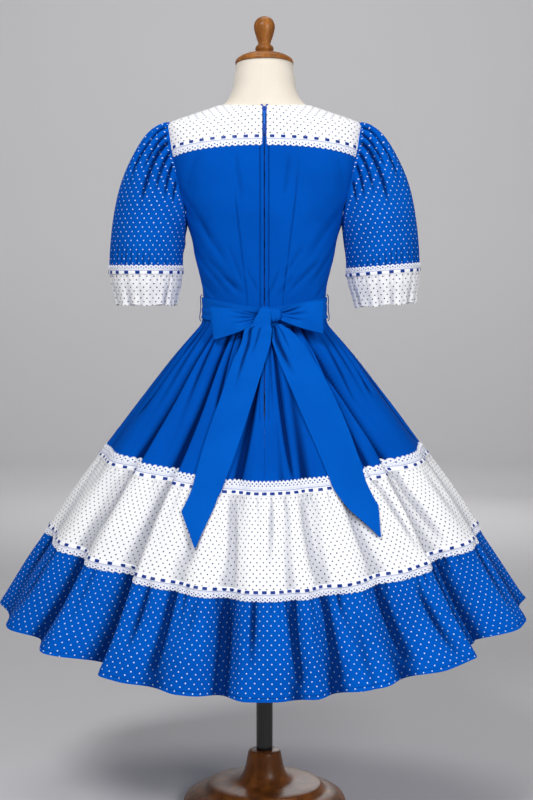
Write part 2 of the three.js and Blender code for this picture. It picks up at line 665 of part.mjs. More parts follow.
const skirtHeight = (row, azimuth) => mix(row.sideZ, row.depthZ, Math.abs(Math.cos(azimuth * DEG)) ** DROP);
const waistSeamPoint = (azimuth, off) => bodicePoint(azimuth, waistHeight(azimuth), off);

// The cloth on either side of the zip stays flat: 0 there and 1 where the gathers are full.
function placket(azimuth, level) {
  const away = Math.abs(((azimuth + 540) % 360) - 180);
  return level > ZIP.endLevel ? 1 : ease01(clamp01((away - ZIP.flat) / ZIP.flat));
}

// The skirt's outside with its folds and gathers
function skirtPoint(azimuth, level) {
  const row = straightRowAt(SKIRT, "level", Math.max(level, SKIRT[0].level));
  const wave = 0.5 - 0.5 * Math.cos(GATHERS * azimuth * DEG);
  const gather = row.gathers * wave * clamp01(level / SKIRT[0].level) * placket(azimuth, level);
  const folds = FOLDS.map((f) => {
    const grown = clamp01((level - f.starts) / (3 - f.starts)) ** 0.8;
    return f.depth * grown * trough(f, azimuth);
  });
  return skirtEnvelope(azimuth, level, -gather - folds.reduce((a, b) => a + b, 0));
}

// The whole skirt as rings of points from the waist seam to the hem, and their normals. All its pieces
// are cut from these, so that neighbours meet edge to edge.
const SKIRT_LEVELS = [0, ...SKIRT.map((row) => row.level)];
const skirtRings = SKIRT_LEVELS.map((level) =>
  Array.from({ length: SKIRT_COLUMNS }, (_, c) => skirtPoint((360 * c) / SKIRT_COLUMNS, level)),
);
const skirtNormals = gridNormals(skirtRings, true, (p) => vector(0, 0, p.z - 150));

// The rings' points between two levels and two column numbers, moved out along their normals
function skirtPatch({ levels, from, to, off }) {
  const [low, high] = levels;
  const columns = Array.from({ length: to - from + 1 }, (_, k) => (from + k + SKIRT_COLUMNS) % SKIRT_COLUMNS);
  const rows = SKIRT_LEVELS.map((level, i) => [level, i]).filter(([level]) => level >= low && level <= high);
  return rows.map(([, i]) => columns.map((c) => skirtRings[i][c].clone().addScaledVector(skirtNormals[i][c], off)));
}

// A piece's edges stop short of its seams by half a seam gap. Only the hem is not a seam.
function freeOfSeams(grid, hem) {
  const last = grid.length - 1;
  const pull = (a, b) => a.add(b.clone().sub(a).setLength(SEAM_GAP / 2));
  grid[0].forEach((p, j) => pull(p, grid[1][j]));
  if (!hem) grid[last].forEach((p, j) => pull(p, grid[last - 1][j]));
  grid.forEach((row) => {
    pull(row[0], row[1]);
    pull(row[row.length - 1], row[row.length - 2]);
  });
  return grid;
}

const TIERS = { top: [0, 1], middle: [1, 2], flounce: [2, 3] };
const QUARTER = SKIRT_COLUMNS / 4;

function skirtPanel(tier, from, to) {
  const side = (off) => freeOfSeams(skirtPatch({ levels: TIERS[tier], from, to, off }), tier === "flounce");
  return shell(side(0), side(-CLOTH), false);
}

add("skirt_top_back_right", skirtPanel("top", 0, QUARTER), BLUE);
add("skirt_top_back_left", skirtPanel("top", -QUARTER, 0), BLUE);
add("skirt_top_front", skirtPanel("top", QUARTER, 3 * QUARTER), BLUE);
add("skirt_middle_back", skirtPanel("middle", -QUARTER, QUARTER), WHITE_DOT);
add("skirt_middle_front", skirtPanel("middle", QUARTER, 3 * QUARTER), WHITE_DOT);
add("flounce_back", skirtPanel("flounce", -QUARTER, QUARTER), BLUE_DOT);
add("flounce_front", skirtPanel("flounce", QUARTER, 3 * QUARTER), BLUE_DOT);

for (const [name, low, high] of [
  ["lace_skirt_upper", 0.942, 1],
  ["lace_skirt_lower", 2, 2.12],
]) {
  const band = (off) => skirtPatch({ levels: [low, high], from: 0, to: SKIRT_COLUMNS - 1, off });
  add(name, shell(band(LIFT + LACE), band(LIFT), true), LACE_WHITE);
}

// Sash, belt loops and bow

// The outside of the waist at a height: the bodice above the waist seam and the skirt below it
function waistPoint(azimuth, z, off) {
  const seam = waistHeight(azimuth);
  if (z >= seam) return bodicePoint(azimuth, z, off);
  const next = skirtHeight(SKIRT[0], azimuth);
  return skirtEnvelope(azimuth, (SKIRT[0].level * (seam - z)) / (seam - next), off);
}

const BELT_COLUMNS = 48;
const beltOff = BELT.stand + SASH;
const beltGrid = steps(2).map((t) =>
  Array.from({ length: BELT_COLUMNS }, (_, j) => {
    const azimuth = (360 * j) / BELT_COLUMNS;
    const c2 = Math.max(0, Math.cos(azimuth * DEG)) ** 2;
    const z = mix(mix(BELT.topSide, BELT.topDepth, c2), mix(BELT.bottomSide, BELT.bottomDepth, c2), t);
    return waistPoint(azimuth, z, beltOff);
  }),
);
add("belt", wall(beltGrid, { thickness: SASH, wrap: true }), BLUE);

// A thread loop at a side seam, from the bodice above the sash to the skirt below it
function beltLoop(side) {
  const { beyond, stand, radius } = BELT_LOOP;
  const onSash = (z) => waistPoint(90, z, beltOff + stand + radius);
  const onCloth = (z) => waistPoint(90, z, LIFT + radius);
  const route = [
    onCloth(BELT.topSide + beyond),
    onSash(BELT.topSide),
    onSash((BELT.topSide + BELT.bottomSide) / 2),
    onSash(BELT.bottomSide),
    onCloth(BELT.bottomSide - beyond),
  ].map((p) => vector(side * p.x, p.y, p.z));
  const section = new THREE.Shape();
  section.absarc(0, 0, radius, 0, 2 * Math.PI);
  return new THREE.ExtrudeGeometry(section, {
    steps: 8,
    curveSegments: 4,
    extrudePath: new THREE.CatmullRomCurve3(route),
  });
}
add("belt_loop_right", beltLoop(1), BLUE);
add("belt_loop_left", beltLoop(-1), BLUE);

const beltBack = waistPoint(0, KNOT.z, beltOff).y;
const knotY = beltBack - KNOT.stand - KNOT.depth / 2;
const knot = new THREE.SphereGeometry(0.5, 12, 8).scale(KNOT.width, KNOT.depth, KNOT.height);
add("bow_knot", knot.translate(KNOT.x, knotY, KNOT.z), BLUE);

// A loop of the bow: a strip that runs out from the knot, turns and comes back. out is the share of its
// reach, near is the distance outwards from the sash.
const LOOP_PATH = [
  { out: 0, near: 8 },
  { out: 0.3, near: 3.5 },
  { out: 0.62, near: 2.8 },
  { out: 0.9, near: 5 },
  { out: 1, near: 12 },
  { out: 0.94, near: 19 },
  { out: 0.66, near: 23 },
  { out: 0.32, near: 20 },
  { out: 0, near: 13 },
];

const LOOP_AT_KNOT = 0.3; // share of a loop's height that the knot leaves
const LOOP_GAP = 0.2; // between the knot and a loop
const LOOP_CORE = { out: 0.6, near: 12 }; // a place inside the loop

// The lower edge spreads evenly, and the upper edge quickly at first.
function bowLoop({ side, reach: length, low, high }) {
  const start = KNOT.x + side * (KNOT.width / 2 + LOOP_GAP);
  const behind = beltBack - SASH - LIFT;
  const grid = steps(2).map((up) =>
    LOOP_PATH.map(({ out, near }) => {
      const spread = mix(LOOP_AT_KNOT, 1, mix(out, 1 - (1 - out) ** 2, up));
      const z = mix(KNOT.z, mix(low, high, up), spread);
      return vector(start + side * length * out, behind - near, z);
    }),
  );
  const centre = vector(start + side * length * LOOP_CORE.out, behind - LOOP_CORE.near, KNOT.z);
  return wall(grid, { thickness: CLOTH, inside: () => centre });
}
for (const loop of BOW_LOOPS) add("bow_loop_" + loop.name, bowLoop(loop), BLUE);

// The azimuth at which the skirt without folds has a given x, near the back
function azimuthAtX(x, level) {
  let azimuth = 0;
  for (let n = 0; n < 30; n += 1) {
    const p = skirtEnvelope(azimuth, level);
    azimuth = Math.asin(x / Math.hypot(p.x, p.y)) / DEG;
  }
  return azimuth;
}

const TAIL_COLUMNS = 3;
const UNDER_TAIL = 150; // how far below a tail's point the place on the axis lies that is inside it

function tail(rows, overKnot = []) {
  const across = steps(TAIL_COLUMNS);
  const onKnot = overKnot.map(({ xLeft, xRight, z, near }) =>
    across.map((t) => vector(mix(xLeft, xRight, t), beltBack - near, z)),
  );
  const onSkirt = rows.map(({ xLeft, levelLeft, xRight, levelRight, off }) =>
    across.map((t) => {
      const level = mix(levelLeft, levelRight, t);
      return skirtEnvelope(azimuthAtX(mix(xLeft, xRight, t), level), level, off + CLOTH);
    }),
  );
  return wall([...onKnot, ...onSkirt], { inside: (p) => vector(0, 0, p.z - UNDER_TAIL) });
}
add("bow_tail_left", tail(TAILS.left, OVER_KNOT), BLUE);
add("bow_tail_right", tail(TAILS.right), BLUE);

// Zip

// The tape runs behind the opening: on the figure down to the waist, then inside the skirt's top tier.
function zipTape() {
  const onBody = [1431.5, 1418, 1398, 1369, 1333, 1288, 1228, 1168, 1110, 1071, 1040, 1011];
  const inSkirt = [0.08, 0.3, 0.45];
  const off = ZIP.stand + ZIP.thickness;
  const edges = (y, z) => [-1, 1].map((side) => vector(side * ZIP.halfWidth, y, z));
  const rows = [
    ...onBody.map((z) => edges(offFigure(0, z, off).y, z)),
    ...inSkirt.map((level) => skirtEnvelope(0, level, -CLOTH * 1.3 - ZIP.behind)).map((p) => edges(p.y, p.z)),
  ];
  return wall(rows, { thickness: ZIP.thickness });
}
add("zip_tape", zipTape(), ZIP_BLUE);

// Solid geometry for joining and cutting
const wasm = await Module();
wasm.setup();

function toSolid(geometry) {
  const bare = geometry.clone();
  bare.deleteAttribute("normal");
  bare.deleteAttribute("uv");
  const merged = mergeVertices(bare, 1e-4);
  return new wasm.Manifold(
    new wasm.Mesh({
      numProp: 3,
      vertProperties: new Float32Array(merged.attributes.position.array),
      triVerts: new Uint32Array(merged.index.array),
    }),
  );
}

function toGeometry(solid) {
  const mesh = solid.getMesh();
  return new THREE.BufferGeometry()
    .setAttribute("position", new THREE.BufferAttribute(mesh.vertProperties, 3))
    .setIndex(new THREE.BufferAttribute(mesh.triVerts, 1));
}

const block = (w, d, h, x, y, z) => toSolid(new THREE.BoxGeometry(w, d, h).translate(x, y, z));

// The slider straddles the tape, which leans to the front with the back of the neck. Its two ears hold a
// cross bar, and the pull tab's eye turns on the bar. Here y = z = 0 is on the tape's outside.
const tapePoint = (z) => offFigure(0, z, ZIP.stand + ZIP.thickness);
const tapeRise = tapePoint(SLIDER.z + SLIDER.height).y - tapePoint(SLIDER.z - SLIDER.height).y;
const tapeLean = Math.atan2(tapeRise, 2 * SLIDER.height);
const barStand = LIFT + SLIDER.plate + SLIDER.barStand;
const onTape = new THREE.Matrix4()
  .makeRotationX(-tapeLean)
  .setPosition(vector(0, tapePoint(SLIDER.z).y, SLIDER.z));
const barCentre = vector(0, -barStand, 0).applyMatrix4(onTape);

function slider() {
  let solid = block(SLIDER.width, SLIDER.plate, SLIDER.height, 0, -LIFT - SLIDER.plate / 2, 0);
  const ear = SLIDER.ear;
  const earDepth = SLIDER.barStand + SLIDER.bar + ear.beyondBar;
  const earX = PULL.width / 2 + ear.clearOfTab + ear.width / 2;
  for (const side of [-1, 1]) {
    const y = -LIFT - SLIDER.plate - earDepth / 2 + ear.intoPlate;
    solid = solid.add(block(ear.width, earDepth, ear.height, side * earX, y, 0));
  }
  const bar = new THREE.CylinderGeometry(SLIDER.bar, SLIDER.bar, 2 * earX, 10).rotateZ(Math.PI / 2);
  return toGeometry(solid.add(toSolid(bar.translate(0, -barStand, 0)))).applyMatrix4(onTape);
}
add("zip_slider", slider(), ZIP_BLUE);

// The tab rests along the back, which slopes out below the neck.
const tabEnd = offFigure(0, barCentre.z - PULL.length, ZIP.stand + ZIP.thickness + PULL.stand);
const tabLean = Math.atan2(barCentre.y - tabEnd.y, PULL.length);

// The pull tab's side outline, an eye round the bar with a flat tongue hanging from it
function pullTab() {
  const outer = PULL.eye + PULL.eyeWall;
  const half = PULL.thickness / 2;
  const join = Math.asin(half / outer);
  const outline = new THREE.Shape();
  outline.absarc(0, 0, outer, -Math.PI / 2 + join, (3 * Math.PI) / 2 - join);
  outline.lineTo(-half, -PULL.length);
  outline.lineTo(half, -PULL.length);
  const eye = new THREE.Path();
  eye.absarc(0, 0, PULL.eye, 0, 2 * Math.PI, true);
  outline.holes.push(eye);
  const plate = new THREE.ExtrudeGeometry(outline, { depth: PULL.width, bevelEnabled: false, curveSegments: 7 });
  // The outline's own x and y become the row's y and z, and its depth becomes x.
  plate.applyMatrix4(new THREE.Matrix4().makeBasis(vector(0, 1, 0), vector(0, 0, 1), vector(1, 0, 0)));
  return plate.rotateX(-tabLean).translate(-PULL.width / 2, barCentre.y, barCentre.z);
}
add("zip_pull_tab", pullTab(), ZIP_BLUE);

// Dress form

const TORSO_COLUMNS = 26;
const TORSO_HEIGHTS = [
  755, 775, 800, 830, 860, 925, 975, 1005, 1040, 1071, 1104, 1137, 1169, 1200, 1228, 1258, 1298, 1338, 1373, 1393,
  1401, 1409, 1418, 1426, 1434, 1443, 1459, 1475, 1498, 1522,
];
// How far the torso lies inside the figure where the dress covers it, and the heights over which that
// starts at the waist and ends at the neck
const TORSO_INSET = { by: 3.3, from: 1000, fullAt: 1040, untilZ: 1400, goneAt: 1426 };
const SHOULDER_INSET = { by: 4, z: 1397, half: 26 }; // and how much more at the shoulder tips
const NECK_LEAN = 1460; // from here up the rings lean to the front with the cap

const rise = (z, from, to) => ease01(clamp01((z - from) / (to - from)));

function torsoPoint(azimuth, z) {
  const { from, fullAt, untilZ, goneAt } = TORSO_INSET;
  const covered = rise(z, from, fullAt) * (1 - rise(z, untilZ, goneAt));
  const tip = ease01(clamp01(1 - Math.abs(z - SHOULDER_INSET.z) / SHOULDER_INSET.half));
  const p = offFigure(azimuth, z, -TORSO_INSET.by * covered - SHOULDER_INSET.by * tip);
  p.z -= p.y * Math.tan(CAP_TILT * DEG) * rise(z, NECK_LEAN, NECK_TOP);
  return p;
}

function torso() {
  const azimuths = Array.from({ length: TORSO_COLUMNS }, (_, j) => (360 * j) / TORSO_COLUMNS);
  const rings = TORSO_HEIGHTS.map((z) => azimuths.map((a) => torsoPoint(a, z)));
  const points = [...rings.flat(), vector(0, 0, TORSO_BOTTOM), vector(0, 0, NECK_TOP)];
  const faces = [];
  const at = (i, j) => i * TORSO_COLUMNS + (j % TORSO_COLUMNS);
  const last = rings.length - 1;
  for (let j = 0; j < TORSO_COLUMNS; j += 1) {
    for (let i = 0; i < last; i += 1)
      faces.push(at(i, j), at(i, j + 1), at(i + 1, j + 1), at(i, j), at(i + 1, j + 1), at(i + 1, j));
    faces.push(points.length - 2, at(0, j + 1), at(0, j));
    faces.push(points.length - 1, at(last, j), at(last, j + 1));
  }
  return facingOut(points, faces);
}
add("form_torso", torso(), LINEN);

// A turned part from its profile, standing on z = 0 of its own frame
function turnedPart(profile, segments) {
  const points = profile.map(([r, z]) => new THREE.Vector2(r, z));
  return new THREE.LatheGeometry(points, segments).rotateX(Math.PI / 2);
}

const capFrame = new THREE.Group();
capFrame.position.set(0, 0, NECK_TOP);
capFrame.rotation.x = -CAP_TILT * DEG;
group.add(capFrame);
const capTop = CAP_PROFILE[CAP_PROFILE.length - 1][1];
add("form_neck_cap", turnedPart(CAP_PROFILE, 22), WOOD, capFrame);
const finial = turnedPart(FINIAL_PROFILE, 16).translate(0, 0, capTop + SEAM_GAP);
add("form_finial", finial, WOOD, capFrame);

const poleLow = BASE_PROFILE[BASE_PROFILE.length - 1][1] + SEAM_GAP;
const poleLength = TORSO_BOTTOM - SEAM_GAP - poleLow;
const pole = new THREE.CylinderGeometry(POLE_RADIUS, POLE_RADIUS, poleLength, 20).rotateX(Math.PI / 2);
add("form_pole", pole.translate(0, 0, poleLow + poleLength / 2), STEEL);
add("form_base", turnedPart(BASE_PROFILE, 28).translate(0, 0, FLOOR), WOOD);

export default group;
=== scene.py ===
# %% [markdown]
# # A square dance dress on its dress form
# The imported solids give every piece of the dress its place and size. This lesson covers each of them
# with a finely modelled surface: gathered cotton, dotted prints, ribbon-threaded lace, a tied sash, a zip,
# a linen torso and a turned wooden stand. Everything is in one frame: the floor is z = 0, the pole is
# the z axis, and the back of the dress faces -Y, towards the camera.

# %% Load the solids
import math

import bpy
import numpy as np
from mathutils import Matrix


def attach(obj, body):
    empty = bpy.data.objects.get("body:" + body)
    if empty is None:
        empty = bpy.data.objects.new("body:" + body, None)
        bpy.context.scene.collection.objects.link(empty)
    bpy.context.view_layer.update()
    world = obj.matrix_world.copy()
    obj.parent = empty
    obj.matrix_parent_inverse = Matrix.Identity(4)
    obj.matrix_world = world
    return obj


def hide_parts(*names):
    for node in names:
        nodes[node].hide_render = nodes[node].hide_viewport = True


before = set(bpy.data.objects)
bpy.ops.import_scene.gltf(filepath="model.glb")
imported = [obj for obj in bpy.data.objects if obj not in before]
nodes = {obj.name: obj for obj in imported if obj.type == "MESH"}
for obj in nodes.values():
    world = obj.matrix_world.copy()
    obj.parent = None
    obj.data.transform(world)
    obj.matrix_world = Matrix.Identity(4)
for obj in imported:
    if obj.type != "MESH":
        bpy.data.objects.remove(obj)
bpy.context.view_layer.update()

# %% [markdown]
# ## The camera
# The camera is made first, because it decides how fine each piece has to be. It stands a little above
# the waist, as the photographer did, and looks slightly down. A long lens keeps the outline calm.

# %% Camera
camera = bpy.data.objects.new("camera", bpy.data.cameras.new("camera"))
bpy.context.scene.collection.objects.link(camera)
bpy.context.scene.camera = camera
camera.location = (0.0041, -3.25, 1.068)
camera.rotation_euler = (math.radians(86.03), 0, 0)
camera.data.lens = 71.5
print("camera at", tuple(round(x, 3) for x in camera.location))

# %% [markdown]
# ## Surfaces from arrays
# Cloth could be sculpted by hand or simulated. Here each piece is a grid of points worked out by numpy
# instead: a row for each height and a column for each step across. A grid is easy to cut at a seam, it
# carries a print in real millimetres, and the same formula gives the trims that lie on it.
# All shapes are worked out in millimetres and turned into metres when the mesh is made.

# %% A closed wall from two grids
MM = 0.001
CLOTH = 1.2       # wall of one layer of cloth
SEAM_GAP = 0.4    # between two pieces that are sewn together


def make_mesh(name, points, faces, corner_uv=None, sharp=50):
    """One mesh object from points (n, 3) in mm and a list of face arrays (m, corners). Faces are turned
    over if the volume, the sum of a . (b x c) / 6 over all triangles, comes out negative."""
    volume = 0.0
    for f in faces:
        a = points[f[:, 0]]
        for k in range(1, f.shape[1] - 1):
            volume += np.einsum("ij,ij->", a, np.cross(points[f[:, k]], points[f[:, k + 1]]))
    if volume < 0:
        faces = [f[:, ::-1] for f in faces]
        corner_uv = None if corner_uv is None else [c[:, ::-1] for c in corner_uv]
    corners = np.concatenate([f.ravel() for f in faces])
    sizes = np.concatenate([np.full(len(f), f.shape[1]) for f in faces])
    mesh = bpy.data.meshes.new(name)
    mesh.vertices.add(len(points))
    mesh.vertices.foreach_set("co", (points * MM).ravel())
    mesh.loops.add(len(corners))
    mesh.loops.foreach_set("vertex_index", corners.astype(np.int32))
    mesh.polygons.add(len(sizes))
    mesh.polygons.foreach_set("loop_start", np.concatenate([[0], np.cumsum(sizes)[:-1]]).astype(np.int32))
    mesh.update(calc_edges=True)
    if corner_uv is not None:
        layer = mesh.uv_layers.new(name="UVMap")
        layer.uv.foreach_set("vector", (np.concatenate([c.reshape(-1, 2) for c in corner_uv]) * MM).ravel())
    mesh.validate()
    mesh.shade_smooth()
    mesh.set_sharp_from_angle(angle=math.radians(sharp))
    made = bpy.data.objects.new(name, mesh)
    bpy.context.scene.collection.objects.link(made)
    return made


def shell(name, outer, inner, uv, wrap=False, sharp=50, fold_shade=None):
    """A closed wall between an outer and an inner grid of points, with a strip along each open edge.
    uv is a grid of print coordinates in mm. A wrapped grid joins its last column to its first, and its
    uv has one column more. fold_shade is a value for each point, how deep it lies in a fold, kept as an
    attribute that the cotton reads to paint shade into the folds."""
    rows, columns = outer.shape[:2]
    index = np.arange(rows * columns).reshape(rows, columns)
    index = np.concatenate([index, index[:, :1]], axis=1) if wrap else index
    cell = np.arange(uv.shape[0] * uv.shape[1]).reshape(uv.shape[:2])
    far = rows * columns

    def quads(grid, shift):
        a, b, c, d = grid[:-1, :-1], grid[:-1, 1:], grid[1:, 1:], grid[1:, :-1]
        out = np.stack([a, b, c, d], axis=-1).reshape(-1, 4)
        back = np.stack([a, d, c, b], axis=-1).reshape(-1, 4) + shift
        rim = [np.stack([grid[0, :-1], grid[0, :-1] + shift, grid[0, 1:] + shift, grid[0, 1:]], axis=-1),
               np.stack([grid[-1, :-1], grid[-1, 1:], grid[-1, 1:] + shift, grid[-1, :-1] + shift], axis=-1)]
        if not wrap:
            rim += [np.stack([grid[:-1, 0], grid[1:, 0], grid[1:, 0] + shift, grid[:-1, 0] + shift], axis=-1),
                    np.stack([grid[:-1, -1], grid[:-1, -1] + shift, grid[1:, -1] + shift, grid[1:, -1]], axis=-1)]
        return np.concatenate([out, back, *rim])

    points = np.concatenate([outer.reshape(-1, 3), inner.reshape(-1, 3)])
    made = make_mesh(name, points, [quads(index, far)], [uv.reshape(-1, 2)[quads(cell, 0)]], sharp)
    if fold_shade is not None:
        layer = made.data.attributes.new("fold_shade", "FLOAT", "POINT")
        layer.data.foreach_set("value", np.tile(fold_shade.ravel(), 2).astype(np.float32))
    return made


def grid_normals(grid, wrap, centre):
    """Unit normals: the cross product of the differences along the rows and the columns, turned to
    point away from the centre points."""
    if wrap:
        across = np.roll(grid, -1, axis=1) - np.roll(grid, 1, axis=1)
    else:
        across = np.gradient(grid, axis=1)
    normal = np.cross(across, np.gradient(grid, axis=0))
    normal /= np.linalg.norm(normal, axis=-1, keepdims=True) + 1e-12
    return normal if np.sum(normal * (grid - centre)) > 0 else -normal


def on_axis(grid):
    """The axis of the pole at the middle height of a grid, as a point that lies inside the dress."""
    return grid.mean(axis=(0, 1)) * [0, 0, 1]


def row_mean(grid, count, wrap):
    """The mean of each point and the count points on either side of it along its row."""
    mode = "wrap" if wrap else "edge"
    padded = np.pad(grid, [(0, 0), (count + 1, count), (0, 0)], mode=mode)
    total = np.cumsum(padded, axis=1)
    return (total[:, 2 * count + 1:] - total[:, :-2 * count - 1]) / (2 * count + 1)


def fold_shade_depths(grid, normal, wrap, spans=((16, 1.2), (50, 5.0), (110, 14.0))):
    """How deep each point lies in a fold, from 0 to 1: for each span in mm, the distance along the normal
    to the mean of the row's points within the span, as a share of the depth given with it. It is the mask
    with which the cotton paints shade into the folds."""
    step = np.linalg.norm(np.diff(grid, axis=1), axis=-1).mean()
    total = np.zeros(grid.shape[:2])
    for span, depth in spans:
        count = int(span / 2 / step)
        if 0 < count < grid.shape[1] / 2:
            below = np.sum((row_mean(grid, count, wrap) - grid) * normal, axis=-1)
            total += np.clip(below / depth, 0, 1)
    return np.clip(total, 0, 1)


def cloth(name, grid, uv, thickness=CLOTH, lift=0.0, wrap=False, centre=None, sharp=50):
    """A wall of cloth whose outside is the grid moved out by lift along its normals."""
    centre = grid.mean(axis=(0, 1)) if centre is None else centre
    normal = grid_normals(grid, wrap, centre)
    # fold_shade: how deep each point lies in a fold, the mask of the painted shade in the folds
    fold_shade = fold_shade_depths(grid, normal, wrap)
    return shell(name, grid + lift * normal, grid + (lift - thickness) * normal, uv, wrap, sharp, fold_shade)


def lengths_uv(grid, wrap=False, width=None):
    """Print coordinates in mm: across is the mean length along the rows, or a share of width, and down
    is the length along each column."""
    closed = np.concatenate([grid, grid[:, :1]], axis=1) if wrap else grid
    step = np.linalg.norm(np.diff(closed, axis=1), axis=-1).mean(axis=0)
    across = np.concatenate([[0], np.cumsum(step)])
    across = across if width is None else across * width / across[-1]
    down = np.linalg.norm(np.diff(closed, axis=0), axis=-1)
    down = np.concatenate([np.zeros((1, closed.shape[1])), np.cumsum(down, axis=0)])
    return np.stack([np.broadcast_to(across, down.shape), down], axis=-1)


def finish_piece(made, material, body="dress_on_form", instead_of=()):
    """Gives a piece its material and says what it rides on and which solids it stands for."""
    made.data.materials.append(material)
    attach(made, body)
    if instead_of:
        made.name = instead_of[0] + "_fine"
        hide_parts(*instead_of)
    print(made.name, len(made.data.loops) - 2 * len(made.data.polygons), "triangles")
    return made


# %% [markdown]
# ## Materials from nodes
# A flat colour looks like paper, so each finish has the detail of the real one: threads of the weave,
# a soft unevenness of the dye, small wrinkles and a faint sheen. The patterns read the piece's own print
# coordinates in metres, so a dot is as large on the sleeve as on the flounce.

# %% A short way to write node trees
class Finish:
    """A material with its shader, and short calls that add a node and return its first output."""

    def __init__(self, name, roughness=0.8, metallic=0.0, specular=0.2, sheen=0.0, coat=0.0):
        self.material = bpy.data.materials.new(name)
        self.material.use_nodes = True
        self.nodes = self.material.node_tree.nodes
        self.links = self.material.node_tree.links
        self.shader = self.nodes["Principled BSDF"]
        for socket, value in (("Roughness", roughness), ("Metallic", metallic), ("Sheen Weight", sheen),
                              ("Specular IOR Level", specular), ("Coat Weight", coat)):
            self.shader.inputs[socket].default_value = value

    def put(self, socket, value):
        """Links a node's output to a socket, or sets a plain value on it."""
        if isinstance(value, bpy.types.NodeSocket):
            self.links.new(value, socket)
        elif value is not None:
            socket.default_value = value

    def node(self, kind, output=0, settings=None, **inputs):
        made = self.nodes.new("ShaderNode" + kind)
        for key, value in (settings or {}).items():
            setattr(made, key, value)
        for key, value in inputs.items():
            self.put(made.inputs[key.replace("_", " ")], value)
        return made.outputs[output]

    def math(self, operation, *values):
        made = self.nodes.new("ShaderNodeMath")
        made.operation = operation
        for k, value in enumerate(values):
            self.put(made.inputs[k], value)
        return made.outputs[0]

    def vector(self, operation, *values, output=0):
        made = self.nodes.new("ShaderNodeVectorMath")
        made.operation = operation
        for k, value in enumerate(values):
            self.put(made.inputs[k], value)
        return made.outputs[output]

    def ramp(self, value, low, high, to_low=0.0, to_high=1.0):
        """A soft step: to_low below low, to_high above high, and smooth between them."""
        made = self.nodes.new("ShaderNodeMapRange")
        made.interpolation_type = "SMOOTHSTEP"
        sockets = {"Value": value, "From Min": low, "From Max": high, "To Min": to_low, "To Max": to_high}
        for key, v in sockets.items():
            self.put(made.inputs[key], v)
        return made.outputs[0]

    def blend(self, factor, a, b, kind="MIX"):
        """Colour a where the factor is 0 and colour b, or a times b, where it is 1."""
        made = self.nodes.new("ShaderNodeMix")
        made.data_type = "RGBA"
        made.blend_type = kind
        self.put(made.inputs[0], factor)
        self.put(made.inputs[6], a)
        self.put(made.inputs[7], b)
        return made.outputs[2]

    def uv(self):
        return self.node("UVMap", settings={"uv_map": "UVMap"})

    def place(self):
        return self.node("TexCoord", output=3)

    def noise(self, vector, scale, detail=2.0, roughness=0.5):
        return self.node("TexNoise", Vector=vector, Scale=scale, Detail=detail, Roughness=roughness)

    def noise_colour(self, vector, scale):
        """Three unlike noises at once, as the colour of one noise node."""
        return self.node("TexNoise", output=1, Vector=vector, Scale=scale, Detail=1.0)

    def bump(self, height, distance, strength=1.0, normal=None):
        return self.node("Bump", Height=height, Distance=distance * MM, Strength=strength, Normal=normal)


# %% [markdown]
# ### Cotton
# A woven cotton is two sets of threads at right angles. Two waves across the print coordinates raise
# them by a few hundredths of a millimetre, and stretched noise makes some threads thicker. Larger,
# softer noise gives the small wrinkles that gathering leaves. A printed dot is the distance to the
# nearest point of a staggered lattice, cut off softly at the dot's radius. Deep in a fold the colour is
# darkened: painted shade, read from the fold_shade attribute of the piece.

# %% Cotton, plain and dotted
def lattice_distance(f, uv, pitch, row):
    """Distance in metres to the nearest point of a staggered lattice: the smaller of the distances to
    two plain lattices, each pitch wide and two rows high, shifted by half a step from each other."""
    half = (pitch * MM / 2, row * MM, 0.5)
    low = tuple(-h for h in half)
    first = f.vector("LENGTH", f.vector("WRAP", uv, half, low), output=1)
    shifted = f.vector("ADD", uv, (half[0], half[1], 0.0))
    second = f.vector("LENGTH", f.vector("WRAP", shifted, half, low), output=1)
    return f.math("MINIMUM", first, second)


